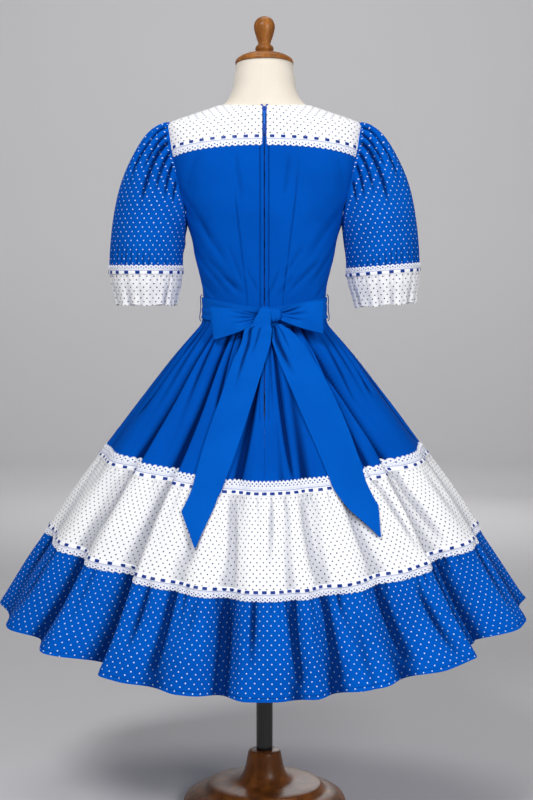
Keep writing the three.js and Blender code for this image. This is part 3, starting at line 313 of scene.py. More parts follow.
def cotton(name, colour, deep, fold_shade, thread=0.42, wrinkle=0.35, sheen=0.15, dots=None, specular=0.12, tint=None):
    """Cotton cloth. fold_shade is a painted shade: deep in a fold the colour is multiplied by it, for the
    shade that falls there, where light only arrives from cloth to cloth.
    dots is (pitch, row, radius, colour) in mm."""
    f = Finish(name, roughness=0.82, specular=specular, sheen=sheen)
    f.shader.inputs["Sheen Tint"].default_value = tint or colour
    uv = f.uv()
    flat = f.vector("MULTIPLY", uv, (1.0, 1.0, 0.0))
    cloudy = f.noise(f.place(), 9.0, 3.0)
    body = f.blend(f.ramp(cloudy, 0.35, 0.65), colour, deep)
    slub_across = f.noise(f.vector("MULTIPLY", flat, (90.0, 1900.0, 0.0)), 1.0, 2.0)
    slub_down = f.noise(f.vector("MULTIPLY", flat, (1900.0, 90.0, 0.0)), 1.0, 2.0)
    slub = f.math("ADD", slub_across, slub_down)
    if dots:
        pitch, row, radius, dot_colour = dots
        uneven = f.vector("SUBTRACT", f.noise_colour(flat, 120.0), (0.5, 0.5, 0.5))
        moved = f.vector("ADD", flat, f.vector("MULTIPLY", uneven, (0.0011, 0.0011, 0.0)))
        distance = lattice_distance(f, moved, pitch, row)
        body = f.blend(f.ramp(distance, (radius - 0.3) * MM, (radius + 0.35) * MM, 1.0, 0.0), body, dot_colour)
    # Painted shade: deep in a fold the colour is multiplied by the fold_shade colour
    painted_fold_shade = f.node("Attribute", output=2, settings={"attribute_name": "fold_shade"})
    body = f.blend(f.math("MULTIPLY", painted_fold_shade, 0.97), body, f.blend(1.0, body, fold_shade, "MULTIPLY"))
    f.put(f.shader.inputs["Base Color"], f.node("HueSaturation", Color=body, Value=f.ramp(slub, 0.6, 1.4, 0.94, 1.05)))
    split = f.node("SeparateXYZ", Vector=flat)
    waves = [f.math("SINE", f.math("MULTIPLY", split.node.outputs[k], 2 * math.pi / (thread * MM))) for k in (0, 1)]
    weave = f.math("ADD", f.math("MULTIPLY", waves[0], waves[1]), slub)
    crumple = f.noise(f.vector("MULTIPLY", flat, (55.0, 26.0, 0.0)), 1.0, 3.0, 0.55)
    relief = f.bump(crumple, wrinkle)
    f.put(f.shader.inputs["Normal"], f.bump(weave, 0.035, 0.6, relief))
    return f.material


# Painted shade: the colour that each cotton is multiplied by deep in a fold
BLUE_FOLD_SHADE, WHITE_FOLD_SHADE = (0.14, 0.2, 0.27, 1), (0.6, 0.61, 0.66, 1)
BLUE = cotton("blue_cotton", (0.0, 0.074, 0.42, 1), (0.0, 0.067, 0.385, 1), BLUE_FOLD_SHADE, sheen=0.0, specular=0.02)
SASH_BLUE = cotton("sash_cotton", (0.0, 0.090, 0.465, 1), (0.0, 0.081, 0.43, 1), BLUE_FOLD_SHADE, wrinkle=0.2, sheen=0.0,
                   specular=0.03)
BLUE_DOT = cotton("dotted_blue_cotton", (0.0, 0.086, 0.46, 1), (0.0, 0.074, 0.41, 1), BLUE_FOLD_SHADE, wrinkle=0.5,
                  sheen=0.0, dots=(17.0, 9.0, 1.2, (0.62, 0.70, 0.82, 1)), specular=0.02)
WHITE_DOT = cotton("dotted_white_cotton", (0.84, 0.84, 0.85, 1), (0.80, 0.80, 0.82, 1), WHITE_FOLD_SHADE, wrinkle=0.5,
                   dots=(13.4, 7.5, 1.5, (0.008, 0.028, 0.11, 1)))
print("cottons ready")

# %% [markdown]
# ## The figure
# The bodice is cut for a figure that is round at the waist and boxier at the shoulders. Each section
# is a superellipse: |x / side|^n + |y / depth|^n = 1, where n = 2 is an ellipse and more is squarer.
# The table is the same as in the solid model, so that every cloth lies where its solid does.

# %% Sections of the figure
# height, half width, depth behind the axis, depth before it, squareness
FIGURE = np.array([
    (755, 160, 106, 96, 2.2), (800, 168, 115, 103, 2.2), (860, 164, 113, 104, 2.2), (925, 148, 101, 100, 2.2),
    (975, 130, 87, 92, 2.2), (1005, 121.5, 80, 86, 2.2), (1040, 120.3, 78.5, 85.5, 2.2), (1071, 122, 80.5, 89.5, 2.2),
    (1104, 129, 85.5, 98, 2.2), (1137, 137, 90, 110, 2.2), (1169, 142.5, 93, 122, 2.3), (1200, 152, 96, 130, 2.3),
    (1223, 160, 98, 131, 2.4), (1258, 173, 99, 127, 2.6), (1298, 182, 99, 117, 2.8), (1338, 189, 95, 105, 2.8),
    (1373, 193.5, 86, 89, 2.5), (1393, 194.5, 79, 79, 2.2), (1401, 191, 76, 76, 2), (1409, 174, 74, 73, 2),
    (1418, 148, 71, 70, 2), (1426, 125, 68, 68, 2), (1434, 102, 65, 66, 2), (1443, 81, 62, 64, 2),
    (1459, 69.5, 59, 61, 2), (1475, 63.7, 57, 59, 2), (1491, 61.5, 55.5, 58, 2), (1522, 57, 54, 57, 2)])
# height, ease at the side, ease at the centre
EASE = np.array([(1005, 2.6, 2.6), (1071, 3.2, 3.0), (1169, 3.6, 3.4), (1258, 3.2, 3.2), (1369, 2.4, 2.8),
                 (1401, 2.2, 2.6), (1436, 1.1, 1.6)])


def smooth_rows(table, at, free_ends=False):
    """A table's columns at values of its first column, by cubic pieces. The slope at a row is the
    harmonic mean of the slopes on its two sides, so the curve never overshoots."""
    x, slope = table[:, 0], np.zeros_like(table)
    rise = np.diff(table, axis=0) / np.diff(x)[:, None]
    before, after = rise[:-1], rise[1:]
    agree = before * after > 0
    slope[1:-1] = np.where(agree, 2 * before * after / np.where(agree, before + after, 1), 0)
    if free_ends:
        slope[0], slope[-1] = rise[0], rise[-1]
    at = np.clip(at, x[0], x[-1])
    i = np.clip(np.searchsorted(x, at, side="right") - 1, 0, len(x) - 2)
    span = (x[i + 1] - x[i])[..., None]
    t = (at - x[i])[..., None] / span
    return (table[i] * (2 * t**3 - 3 * t**2 + 1) + slope[i] * span * (t**3 - 2 * t**2 + t)
            + table[i + 1] * (3 * t**2 - 2 * t**3) + slope[i + 1] * span * (t**3 - t**2))


def mix(a, b, t):
    return a + (b - a) * t


def ease01(t):
    t = np.clip(t, 0, 1)
    return t * t * (3 - 2 * t)


def at_azimuth(radius, azimuth, z):
    """A point at a distance from the axis. Azimuth is in degrees from the centre back."""
    a = np.radians(azimuth)
    return np.stack(np.broadcast_arrays(radius * np.sin(a), -radius * np.cos(a), z), axis=-1).astype(float)


def reach(side, back, front, square, azimuth):
    """Distance from the axis to the superellipse with the given half axes."""
    s, c = np.sin(np.radians(azimuth)), np.cos(np.radians(azimuth))
    depth = np.where(c > 0, back, front)
    return ((np.abs(s) / side) ** square + (np.abs(c) / depth) ** square) ** (-1 / square)


def figure_point(azimuth, z):
    azimuth, z = np.broadcast_arrays(np.asarray(azimuth, float), np.asarray(z, float))
    _, side, back, front, square = np.moveaxis(smooth_rows(FIGURE, z), -1, 0)
    return at_azimuth(reach(side, back, front, square, azimuth), azimuth, z)


def off_figure(azimuth, z, off):
    """The figure moved out along its normal, the cross product of its two tangents."""
    azimuth, z = np.asarray(azimuth, float), np.asarray(z, float)
    across = figure_point(azimuth + 0.5, z) - figure_point(azimuth - 0.5, z)
    up = figure_point(azimuth, z + 0.5) - figure_point(azimuth, z - 0.5)
    normal = np.cross(across, up)
    normal /= np.linalg.norm(normal, axis=-1, keepdims=True)
    return figure_point(azimuth, z) + normal * np.asarray(off)[..., None]


def bodice_point(azimuth, z, off=0.0):
    """The outside of the bodice: the figure, its ease and one layer of cloth."""
    azimuth, z = np.broadcast_arrays(np.asarray(azimuth, float), np.asarray(z, float))
    _, side, centre = np.moveaxis(smooth_rows(EASE, z), -1, 0)
    return off_figure(azimuth, z, mix(side, centre, np.abs(np.cos(np.radians(azimuth)))) + CLOTH + off)


print("half width at the bust line", round(float(figure_point(90, 1258)[0]), 1), "mm")

# %% [markdown]
# ## Seams and armholes
# A panel is bounded by seams. The armhole is an egg standing on its wide end, given as a depth for
# each height, and the azimuth where the figure reaches that depth is found by a few rounds of
# correction.

# %% Where the panels end
WAIST_SIDE, WAIST_CENTRE = 1018, 1010
ARMHOLE_TOP, ARMHOLE_BOTTOM, ARMHOLE_BACK, ARMHOLE_FRONT, ARMHOLE_EGG = 1403, 1200, 50, 52, 0.12
ARMHOLE_MIDDLE = (ARMHOLE_TOP + ARMHOLE_BOTTOM) / 2
ARMHOLE_HALF = ARMHOLE_TOP - ARMHOLE_MIDDLE


def azimuth_at_depth(z, depth):
    azimuth = np.full(np.shape(z), 90.0)
    for _ in range(40):
        p = figure_point(azimuth, z)
        azimuth = np.degrees(np.arccos(np.clip(depth / np.hypot(p[..., 0], p[..., 1]), -1, 1)))
    return azimuth


def armhole_depth(z, front):
    u = (z - ARMHOLE_MIDDLE) / ARMHOLE_HALF
    width = np.where(front, -ARMHOLE_FRONT, ARMHOLE_BACK)
    return width * np.sqrt(np.clip(1 - u * u, 0, None)) * (1 - ARMHOLE_EGG * u)


def panel_edge(z, front):
    """Azimuth of a panel's outer edge: the side seam, the armhole or the shoulder seam."""
    seam = np.degrees(SEAM_GAP / 2 / figure_point(90, z)[..., 0]) * (1 if front else -1)
    edge = azimuth_at_depth(z, armhole_depth(z, front))
    edge = np.maximum(edge, 90 + seam) if front else np.minimum(edge, 90 + seam)
    return np.where((z <= ARMHOLE_BOTTOM) | (z >= ARMHOLE_TOP), 90 + seam, edge)


def edge_rows(low, high, plain, curved):
    """Heights from low to high, spaced evenly in angle round the armhole so that its curve is smooth."""
    def turn(z):
        return np.degrees(np.arccos(np.clip((z - ARMHOLE_MIDDLE) / ARMHOLE_HALF, -1, 1)))
    rows = [np.linspace(low, ARMHOLE_BOTTOM, plain)[:-1]] if low < ARMHOLE_BOTTOM else []
    start, end = turn(max(low, ARMHOLE_BOTTOM)), turn(min(high, ARMHOLE_TOP))
    rows.append(ARMHOLE_MIDDLE + ARMHOLE_HALF * np.cos(np.radians(np.linspace(start, end, curved))))
    if high > ARMHOLE_TOP:
        rows.append(np.linspace(ARMHOLE_TOP, high, plain)[1:])
    return np.concatenate(rows)


# %% [markdown]
# ### Creases of the bodice
# The bodice is smooth, with a few soft pulls: from the armholes towards the waist, above the sash,
# and a dart on each half. Each crease is a line on the cloth with a half width and a depth, and the
# cloth is pressed in by a bell curve of the distance from that line.

# %% Creases and darts
# azimuth and height of both ends, half width and depth in mm
BACK_CREASES = np.array([
    (-76, 1236, -44, 1128, 9, 2.0), (-72, 1262, -58, 1180, 6, 1.6), (-80, 1150, -50, 1072, 7, 2.0),
    (-63, 1128, -34, 1062, 7, 1.9), (-40, 1150, -28, 1084, 6.5, 1.0), (-58, 1330, -66, 1268, 7, 1.6),
    (-84, 1092, -62, 1054, 5, 1.6), (-30, 1330, -24, 1250, 9, 1.0), (-50, 1092, -26, 1060, 6, 1.3),
    (76, 1240, 52, 1140, 8.5, 1.8), (81, 1166, 60, 1088, 6.5, 1.8), (60, 1120, 34, 1066, 6.5, 1.7),
    (42, 1150, 26, 1096, 6.5, 1.0), (62, 1326, 68, 1262, 7, 1.6), (84, 1096, 66, 1054, 5, 1.5),
    (27, 1326, 22, 1256, 9, 1.0), (18, 1100, 6, 1056, 6, 0.9), (-22, 1108, -9, 1066, 6, 0.9),
    (36, 1090, 20, 1058, 6, 1.1), (104, 1222, 132, 1170, 9, 1.8), (256, 1222, 228, 1166, 9, 1.8),
    (118, 1110, 142, 1062, 7, 1.7), (244, 1112, 216, 1060, 7, 1.8), (160, 1200, 168, 1120, 8, 1.2),
    (200, 1196, 190, 1124, 8, 1.2)])
# The darts are stitched lines: narrow and firm.
DARTS = np.array([(-24, 1044, -30.5, 1256, 2.4, 0.8), (25.5, 1040, 34, 1300, 2.4, 0.8),
                  (138, 1040, 142, 1196, 2.4, 1.1), (222, 1040, 218, 1196, 2.4, 1.1)])
ROUND = 115.0  # mean radius of the bodice, which turns an azimuth into mm
RIDGE = 0.4  # height of the ridge beside a crease, as a share of the crease's depth


def pressed_in(azimuth, z, rows):
    """Sum over the rows of depth x exp(-(distance / half width)^2), fading towards both ends."""
    total = np.zeros(np.broadcast(azimuth, z).shape)
    for a0, z0, a1, z1, half, depth in rows:
        away = (azimuth - a0 + 180) % 360 - 180
        x, y = np.radians(away) * ROUND, z - z0
        dx, dy = np.radians((a1 - a0 + 180) % 360 - 180) * ROUND, z1 - z0
        t = (x * dx + y * dy) / (dx * dx + dy * dy)
        across = (x * dy - y * dx) / math.hypot(dx, dy) / half
        shape = np.exp(-across**2) - RIDGE * np.exp(-((across - 1.7) / 0.9) ** 2)
        total += depth * shape * ease01((t + 0.25) / 0.4) * ease01((1.25 - t) / 0.5)
    return total


STITCH_LINE = 9.0  # from the zip's centre to the stitching on each side of it


def bodice_surface(azimuth, z, off=0.0):
    """The bodice with its creases, its darts and the two stitched lines along the zip."""
    x = np.abs(bodice_point(azimuth, z)[..., 0])
    back = np.cos(np.radians(azimuth)) > 0
    zip_line = 0.8 * np.exp(-((x - STITCH_LINE) / 1.4) ** 2) * back * (z < 1368)
    off = off - pressed_in(azimuth, z, BACK_CREASES) - pressed_in(azimuth, z, DARTS) - zip_line
    return bodice_point(azimuth, z, off)


# %% [markdown]
# ## Bodice and yoke
# Each back half runs from the zip to the side seam, and the front is one piece. Rows run upwards
# and follow the curved seams, and columns run outwards from the centre.

# %% Panels of the bodice and yoke
YOKE_BACK_CENTRE, YOKE_BACK_EDGE, YOKE_FRONT_CENTRE, YOKE_FRONT_EDGE = 1369, 1350, 1320, 1333
NECKLINE_BACK, NECKLINE_FRONT, NECK_POINT, NECK_SCOOP = 1431, 1376, 1436, 2.4
ZIP_OPENING, YOKE_OPENING = 1.3, 4.6


def waist_height(azimuth):
    return mix(WAIST_SIDE, WAIST_CENTRE, np.cos(np.radians(azimuth)) ** 2)


def yoke_seam_back(s):
    return mix(YOKE_BACK_CENTRE, YOKE_BACK_EDGE, s * s)


def yoke_seam_front(s):
    return mix(YOKE_FRONT_CENTRE, YOKE_FRONT_EDGE, s * s)


def back_half(bottom, top, heights, opening, columns, side=1):
    """Rows of a back half. u is the share of the height at the outer edge, s the share of the width.
    side is 1 for the wearer's right and -1 for the left."""
    low, high = bottom(1.0), top(1.0)
    u = ((heights - low) / (high - low))[:, None]
    s = np.linspace(0, 1, columns)[None, :]
    z = mix(bottom(s), top(s), u)
    centre = np.degrees(np.arctan(opening / np.abs(bodice_point(0, z)[..., 1])))
    return bodice_surface(side * mix(centre, panel_edge(heights, False)[:, None], s), z)


def whole_front(bottom, top, heights, columns):
    """Rows of the front. s runs from -1 at the wearer's right to 1 at the wearer's left."""
    low, high = bottom(1.0), top(1.0)
    u = ((heights - low) / (high - low))[:, None]
    s = np.linspace(-1, 1, columns)[None, :]
    z = mix(bottom(np.abs(s)), top(np.abs(s)), u)
    return bodice_surface(180 + s * (180 - panel_edge(heights, True)[:, None]), z)


half = SEAM_GAP / 2
PANELS = {
    "bodice_back": dict(bottom=lambda s: waist_height(90 * s) + half, top=lambda s: yoke_seam_back(s) - half,
                        heights=edge_rows(WAIST_SIDE + half, YOKE_BACK_EDGE - half, 50, 42), opening=ZIP_OPENING,
                        columns=88),
    "yoke_back": dict(bottom=lambda s: yoke_seam_back(s) + half, top=lambda s: mix(NECKLINE_BACK, NECK_POINT, s),
                      heights=edge_rows(YOKE_BACK_EDGE + half, NECK_POINT, 13, 24), opening=YOKE_OPENING, columns=72),
    "bodice_front": dict(bottom=lambda s: waist_height(90 * s) + half, top=lambda s: yoke_seam_front(s) - half,
                         heights=edge_rows(WAIST_SIDE + half, YOKE_FRONT_EDGE - half, 40, 36), columns=116),
    "yoke_front": dict(bottom=lambda s: yoke_seam_front(s) + half,
                       top=lambda s: mix(NECKLINE_FRONT, NECK_POINT, s**NECK_SCOOP),
                       heights=edge_rows(YOKE_FRONT_EDGE + half, NECK_POINT, 12, 24), columns=108),
}


def panel_piece(name, grid, material):
    made = cloth(name, grid, lengths_uv(grid), centre=on_axis(grid))
    finish_piece(made, material, instead_of=[name])
    return made


for kind, material, slot, flat, area in (("bodice_back", BLUE, "blue", (0.225, 0.365), 0.058),
                                         ("yoke_back", WHITE_DOT, "white_dot", (0.215, 0.105), 0.0132)):
    for word, side in (("_right", 1), ("_left", -1)):
        panel_piece(kind + word, back_half(**PANELS[kind], side=side), material)
panel_piece("bodice_front", whole_front(**PANELS["bodice_front"]), BLUE)
panel_piece("yoke_front", whole_front(**PANELS["yoke_front"]), WHITE_DOT)

# %% [markdown]
# ## The skirt
# The skirt is one tall surface that is cut into three tiers. azimuth goes round it and level goes
# down it: 0 is the waist seam, 1 and 2 are the seams between the tiers and 3 is the hem. The smooth
# body widens as an ellipse, and the seams hang lower at the centre back and front. Folds and gathers
# are pressed inwards from that body.

# %% The body of the skirt
# level, half width, depth back, depth front, height at the side, height at the centre, squareness
SKIRT = np.array([
    (0.08, 129.5, 93, 98, 998, 988, 2.2), (0.3, 186, 133, 136, 933, 918, 2.1), (0.6, 254, 178, 179, 846, 814, 2),
    (0.942, 328, 228, 228, 748, 696, 2), (1, 338, 236, 236, 735, 677, 2), (1.5, 391, 281, 281, 664, 591, 2),
    (2, 441, 325, 325, 590, 506, 2), (2.12, 454, 334, 334, 571, 484, 2), (2.5, 495, 366, 366, 511, 412, 2),
    (3, 546, 410, 410, 432, 320, 2.1)])
DROP = 1.2  # how fast the seams drop from the side to the centre


def skirt_body(azimuth, level, off=0.0):
    """The smooth skirt. Above its first row it is drawn to the waist seam of the bodice."""
    azimuth, level = np.broadcast_arrays(np.asarray(azimuth, float), np.asarray(level, float))
    first = SKIRT[0, 0]
    row = smooth_rows(SKIRT, np.maximum(level, first), True)
    _, side, back, front, side_z, centre_z, square = np.moveaxis(row, -1, 0)
    radius = reach(side, back, front, square, azimuth) + off
    z = mix(side_z, centre_z, np.abs(np.cos(np.radians(azimuth))) ** DROP)
    below = at_azimuth(radius, azimuth, z)
    waist = bodice_point(azimuth, waist_height(azimuth), off)
    return mix(waist, below, np.clip(level / first, 0, 1)[..., None])


# %% [markdown]
# ### Folds and gathers
# The large folds are placed one by one: each is a trough that runs down the cloth, with its own line,
# width on either side, and depth. They follow what the real skirt shows at the back, and similar ones go
# round the front. Gathers are finer: a wave round the skirt whose spacing and depth are uneven,
# deepest just below a seam and gone a little lower down. Just under the waist a deep fold would reach
# the dress form, so there the surface is held a little off it.

# %% Folds, placed one by one
# large folds: azimuth, half width before and after it in degrees, depth at the hem, level where it starts
FOLDS = np.array([
    (-12.5, 8, 8, 26, .15), (9, 5, 5, 10, .1), (20, 7, 8, 26, .1), (38.5, 9, 8, 26, .1), (60, 6, 13, 50, .2),
    (84, 9, 8, 24, .2), (106, 11, 9, 34, .1), (128, 9, 12, 38, .2), (152, 10, 9, 28, .1), (173, 9, 10, 30, .2),
    (195, 9, 9, 24, .1), (216, 10, 10, 34, .1), (238, 10, 9, 30, .2), (260, 10, 10, 32, .1), (279, 7, 8, 18, .2),
    (295, 7, 8, 34, .2), (313, 11, 6, 48, .2), (331, 8, 7, 16, .1)])
# folds of one tier: azimuth at the top and bottom, levels, half width before and after, depth
TIER_FOLDS = np.array([
    (-71, -77, .04, .7, 3, 3, 9), (-57, -63.5, .02, 1.1, 5.5, 4.2, 25), (-39, -45.5, .03, 1.1, 5, 4.5, 23),
    (-33, -31.5, .04, .55, 2.4, 2.4, 9), (-26, -24, .04, .4, 2.0, 2.0, 7), (-3.4, -14, .28, 1.0, 5.5, 2.4, 12),
    (9.5, 14.5, .1, 1.0, 3.0, 3.2, 11), (20, 21, .05, .35, 2.0, 2.0, 7), (34, 41, .04, .5, 2.4, 2.4, 11),
    (46.5, 50.5, .03, 1.1, 3.2, 3.0, 19), (46, 65.5, .06, 1.15, 4.2, 4.2, 26), (80, 71.5, .04, .55, 3, 3, 10),
    (84, 90, .03, 1.0, 4.5, 4.5, 14), (101, 104, .04, .8, 3.6, 3.6, 12), (116, 119, .03, 1.0, 4.4, 4, 18),
    (131, 128, .04, .7, 3.2, 3.2, 11), (143, 146, .03, 1.0, 4, 4.4, 18), (158, 156, .05, .6, 2.8, 3.2, 10),
    (170, 172, .03, 1.0, 4, 4, 16), (184, 186, .04, .6, 3, 3, 9), (197, 200, .03, 1.0, 4.4, 4, 19),
    (213, 211, .04, .7, 3.2, 3.2, 11), (226, 229, .03, 1.0, 4, 4.4, 18), (243, 241, .05, .8, 3.6, 3.6, 11),
    (255, 258, .03, 1.0, 4.4, 4, 17), (270, 268, .04, .8, 3.6, 3.6, 12),
    (-45.5, -48, 1.02, 1.98, 5, 3.6, 9), (-62, -63, 1.03, 1.7, 3, 4, 6), (-29, -27, 1.03, 1.8, 3.6, 3.6, 6),
    (-15, -11.5, 1.03, 1.9, 3.6, 3.6, 7), (3, 2, 1.04, 1.8, 3.4, 3.4, 4), (17, 17.5, 1.03, 1.9, 3.2, 3.2, 7),
    (36, 38, 1.03, 1.9, 3, 3, 6), (51, 55.5, 1.02, 1.98, 3.2, 3.2, 10), (63, 67, 1.02, 1.98, 3, 3, 7),
    (74, 76, 1.03, 1.9, 4, 4, 7), (98, 100, 1.03, 1.9, 4, 4, 7), (122, 124, 1.03, 1.9, 4, 4, 8),
    (147, 145, 1.03, 1.9, 4, 4, 7), (180, 182, 1.03, 1.9, 4, 4, 8), (208, 206, 1.03, 1.9, 4, 4, 7),
    (236, 238, 1.03, 1.9, 4, 4, 8), (264, 262, 1.03, 1.9, 4, 4, 7),
    (-64.5, -65, 2.02, 3.05, 3.4, 3.4, 10), (-47, -47.5, 2.0, 3.3, 11, 3.8, 22), (-31, -31, 2.03, 2.9, 3, 3, 7),
    (-14, -12.5, 2.0, 3.2, 5, 6.5, 18), (7.5, 10.5, 2.03, 2.9, 2.6, 3, 7), (21, 21.5, 2.03, 2.9, 2.8, 2.8, 7),
    (37.5, 41, 2.03, 2.9, 3, 3, 7), (48, 51, 2.02, 2.95, 3.2, 3.8, 10), (64, 64, 2.0, 3.3, 2.6, 8, 19),
    (-22, -23, 2.03, 2.6, 2.6, 2.6, 5), (27, 28.5, 2.0, 3.2, 5, 5.5, 15), (-38, -37.5, 2.02, 2.7, 2.2, 2.2, 5),
    (-74, -75, 2.02, 2.9, 3, 4, 9), (-57, -56.5, 2.04, 2.8, 2.6, 2.6, 6), (74, 75, 2.03, 2.9, 3, 4, 8),
    (-4, -4, 2.03, 2.7, 2.8, 2.8, 5), (93, 92, 2.02, 3.0, 4, 4, 9), (112, 114, 2.02, 3.0, 4, 4, 11),
    (134, 133, 2.02, 3.0, 4, 4, 9), (160, 162, 2.02, 3.0, 4, 4, 11), (188, 186, 2.02, 3.0, 4, 4, 9),
    (210, 212, 2.02, 3.0, 4, 4, 11), (233, 232, 2.02, 3.0, 4, 4, 9), (254, 255, 2.02, 3.0, 4, 4, 10)])
PLACKET_END, PLACKET_FLAT = 0.6, 3.4
seed = np.random.default_rng(11)


def bell(u):
    """A raised cosine: 1 in the middle, 0 from u = 1 on."""
    return np.where(np.abs(u) < 1, 0.5 + 0.5 * np.cos(np.pi * u), 0)


def trough(azimuth, line, before, after):
    away = (azimuth - line + 180) % 360 - 180
    return bell(np.where(away < 0, away / before, away / after))


def uneven_waves(azimuth, count, sharpness=1.6, wander=0.9, fade=0.55):
    """A wave from 0 to 1 round the skirt with about count troughs. A sum of slow sines with random
    phases moves its phase, and another one changes its depth. A power above 1 rounds the ridges and
    narrows the troughs."""
    a = np.radians(azimuth)
    phase, depth = count * a, np.zeros_like(a)
    for k in range(1, 9):
        n, m = round(count * seed.uniform(0.06, 0.35)), round(count * seed.uniform(0.1, 0.5))
        phase = phase + wander * seed.uniform(0.4, 1) * np.sin(n * a + seed.uniform(0, 6.3)) / k**0.3
        depth = depth + seed.uniform(0.4, 1) * np.sin(m * a + seed.uniform(0, 6.3))
    return (0.5 - 0.5 * np.cos(phase)) ** sharpness * np.clip(1 - fade + fade * 0.5 * depth, 0.05, 1.6)


def below_seam(level, seam, peak, length):
    """0 at a seam, 1 at the peak below it, and down to 0 over the length."""
    t = level - seam
    return ease01(t / peak) * (1 - ease01((t - peak) / length)) * (t >= 0)


def skirt_pressed(azimuth, level):
    """How far folds and gathers press the skirt in at each point of the grid, in mm."""
    total = np.zeros(np.broadcast(azimuth, level).shape)
    for line, before, after, depth, starts in FOLDS:
        grown = np.clip((level - starts) / (3 - starts), 0, 1) ** 0.8
        total += depth * grown * trough(azimuth, line, before, after)
    for top, bottom, start, end, before, after, depth in TIER_FOLDS:
        t = np.clip((level - start) / (end - start), 0, 1)
        total += depth * np.sin(np.pi * t) ** 0.7 * trough(azimuth, mix(top, bottom, t), before, after)
    return total


# number of troughs, seam, level from the seam to the deepest place, level from there to the end, depth
WAVES = {
    "waist": (46, 0.0, 0.14, 0.62, 7.5), "waist_fine": (96, 0.0, 0.07, 0.25, 3.2),
    "middle": (54, 1.0, 0.07, 0.6, 3.6), "middle_fine": (170, 1.0, 0.03, 0.14, 1.8),
    "flounce": (50, 2.0, 0.12, 0.75, 6.0), "flounce_fine": (120, 2.0, 0.06, 0.3, 2.8),
    "hem": (26, 2.2, 0.8, 9.0, 5.0),
}
ring = np.linspace(0, 360, 4321)
WAVE_TABLES = {name: uneven_waves(ring, row[0]) for name, row in WAVES.items()}


def skirt_gathers(azimuth, level):
    """The fine gathers, each wave at its own place below a seam. They leave the zip's placket flat."""
    away = np.abs((azimuth + 540) % 360 - 180)
    open_up = np.where(level > 1, 1.0, ease01((away - PLACKET_FLAT) / PLACKET_FLAT))
    total = np.zeros(np.broadcast(azimuth, level).shape)
    for name, (_, seam, peak, length, depth) in WAVES.items():
        wave = np.interp(np.mod(azimuth, 360), ring, WAVE_TABLES[name])
        total += depth * wave * below_seam(level, seam, peak, length) * (level <= math.floor(seam) + 1)
    return total * open_up


FORM_ROOM = 2.7  # least distance from the dress form to the outside of the skirt, with one layer of cloth in it
FORM_SOFT = 0.6  # how gently a fold comes to rest at that distance


def outside_form(points):
    """Points moved away from the axis where a deep fold would reach the dress form. The distance is a
    softened maximum, the logarithm of a sum of exponentials, so it leaves no crease."""
    azimuth = np.degrees(np.arctan2(points[..., 0], -points[..., 1]))
    figure = figure_point(azimuth, np.maximum(points[..., 2], FIGURE[0, 0]))
    least = np.linalg.norm(figure[..., :2], axis=-1) + FORM_ROOM
    radius = np.linalg.norm(points[..., :2], axis=-1)
    moved = least + FORM_SOFT * np.logaddexp(0, (radius - least) / FORM_SOFT)
    return points * np.stack([moved / radius, moved / radius, np.ones_like(radius)], axis=-1)


def skirt_point(azimuth, level, off=0.0):
    """The outside of the skirt with its folds and gathers, clear of the dress form."""
    azimuth, level = np.broadcast_arrays(np.asarray(azimuth, float), np.asarray(level, float))
    return outside_form(skirt_body(azimuth, level, off - skirt_pressed(azimuth, level) - skirt_gathers(azimuth, level)))


# %% [markdown]
# ### The tiers
# Each tier is cut from that one surface, so neighbours meet edge to edge. The print runs straight
# down the cloth: its width is the tier's flat width, so the gathers take up the rest at the top.

# %% Tiers of the skirt
# name, levels, azimuths, rows, columns, material, slot, width of the cut in mm
TIERS = [
    ("skirt_top_back_right", 0, 1, 0, 90, 42, 232, BLUE, "blue", 475),
    ("skirt_top_back_left", 0, 1, -90, 0, 42, 232, BLUE, "blue", 475),
    ("skirt_top_front", 0, 1, 90, 270, 34, 290, BLUE, "blue", 950),
    ("skirt_middle_back", 1, 2, -90, 90, 22, 470, WHITE_DOT, "white_dot", 1330),
    ("skirt_middle_front", 1, 2, 90, 270, 19, 310, WHITE_DOT, "white_dot", 1330),
    ("flounce_back", 2, 3, -90, 90, 28, 480, BLUE_DOT, "blue_dot", 1740),
    ("flounce_front", 2, 3, 90, 270, 24, 320, BLUE_DOT, "blue_dot", 1740),
]
INSIDE_SKIRT = np.array([0, 0, 600.0])


def tier_grid(low, high, start, end, rows, columns):
    """A tier's grid, half a seam gap short of its seams. Beside the zip the gap is wider."""
    level = np.linspace(low + 0.0006, high - (0.0006 if high < 3 else 0), rows)[:, None]
    radius = np.linalg.norm(skirt_body(90.0, level)[..., :2], axis=-1)
    slit = mix(ZIP_OPENING, half, ease01((level - PLACKET_END + 0.04) / 0.04))
    gap = np.degrees(np.where(level < 1, slit, half) / (radius * 0.72))
    azimuth = mix(start + np.where(start == 0, gap, np.degrees(half / radius)),
                  end - np.where(end == 0, gap, np.degrees(half / radius)), np.linspace(0, 1, columns)[None, :])
    return skirt_point(azimuth, level)


for name, low, high, start, end, rows, columns, material, slot, width in TIERS:
    grid = tier_grid(low, high, start, end, rows, columns)
    made = cloth(name, grid, lengths_uv(grid, width=width), centre=INSIDE_SKIRT)
    finish_piece(made, material, instead_of=[name])
    height, fullness = [(0.395, 0.82), (0.192, 1.0), (0.212, 1.0)][low]

# %% [markdown]
# ## Puffed sleeves
# A sleeve is gathered into the armhole and again into the cuff. Each line of the sleeve, from a point of
# the armhole to a point of the cuff seam, is a cubic Bezier curve: it leaves the shoulder outwards and
# arrives at the cuff from above. turn goes round the sleeve: 0 is the shoulder, 90 the back, 180 the
# underarm and 270 the front.

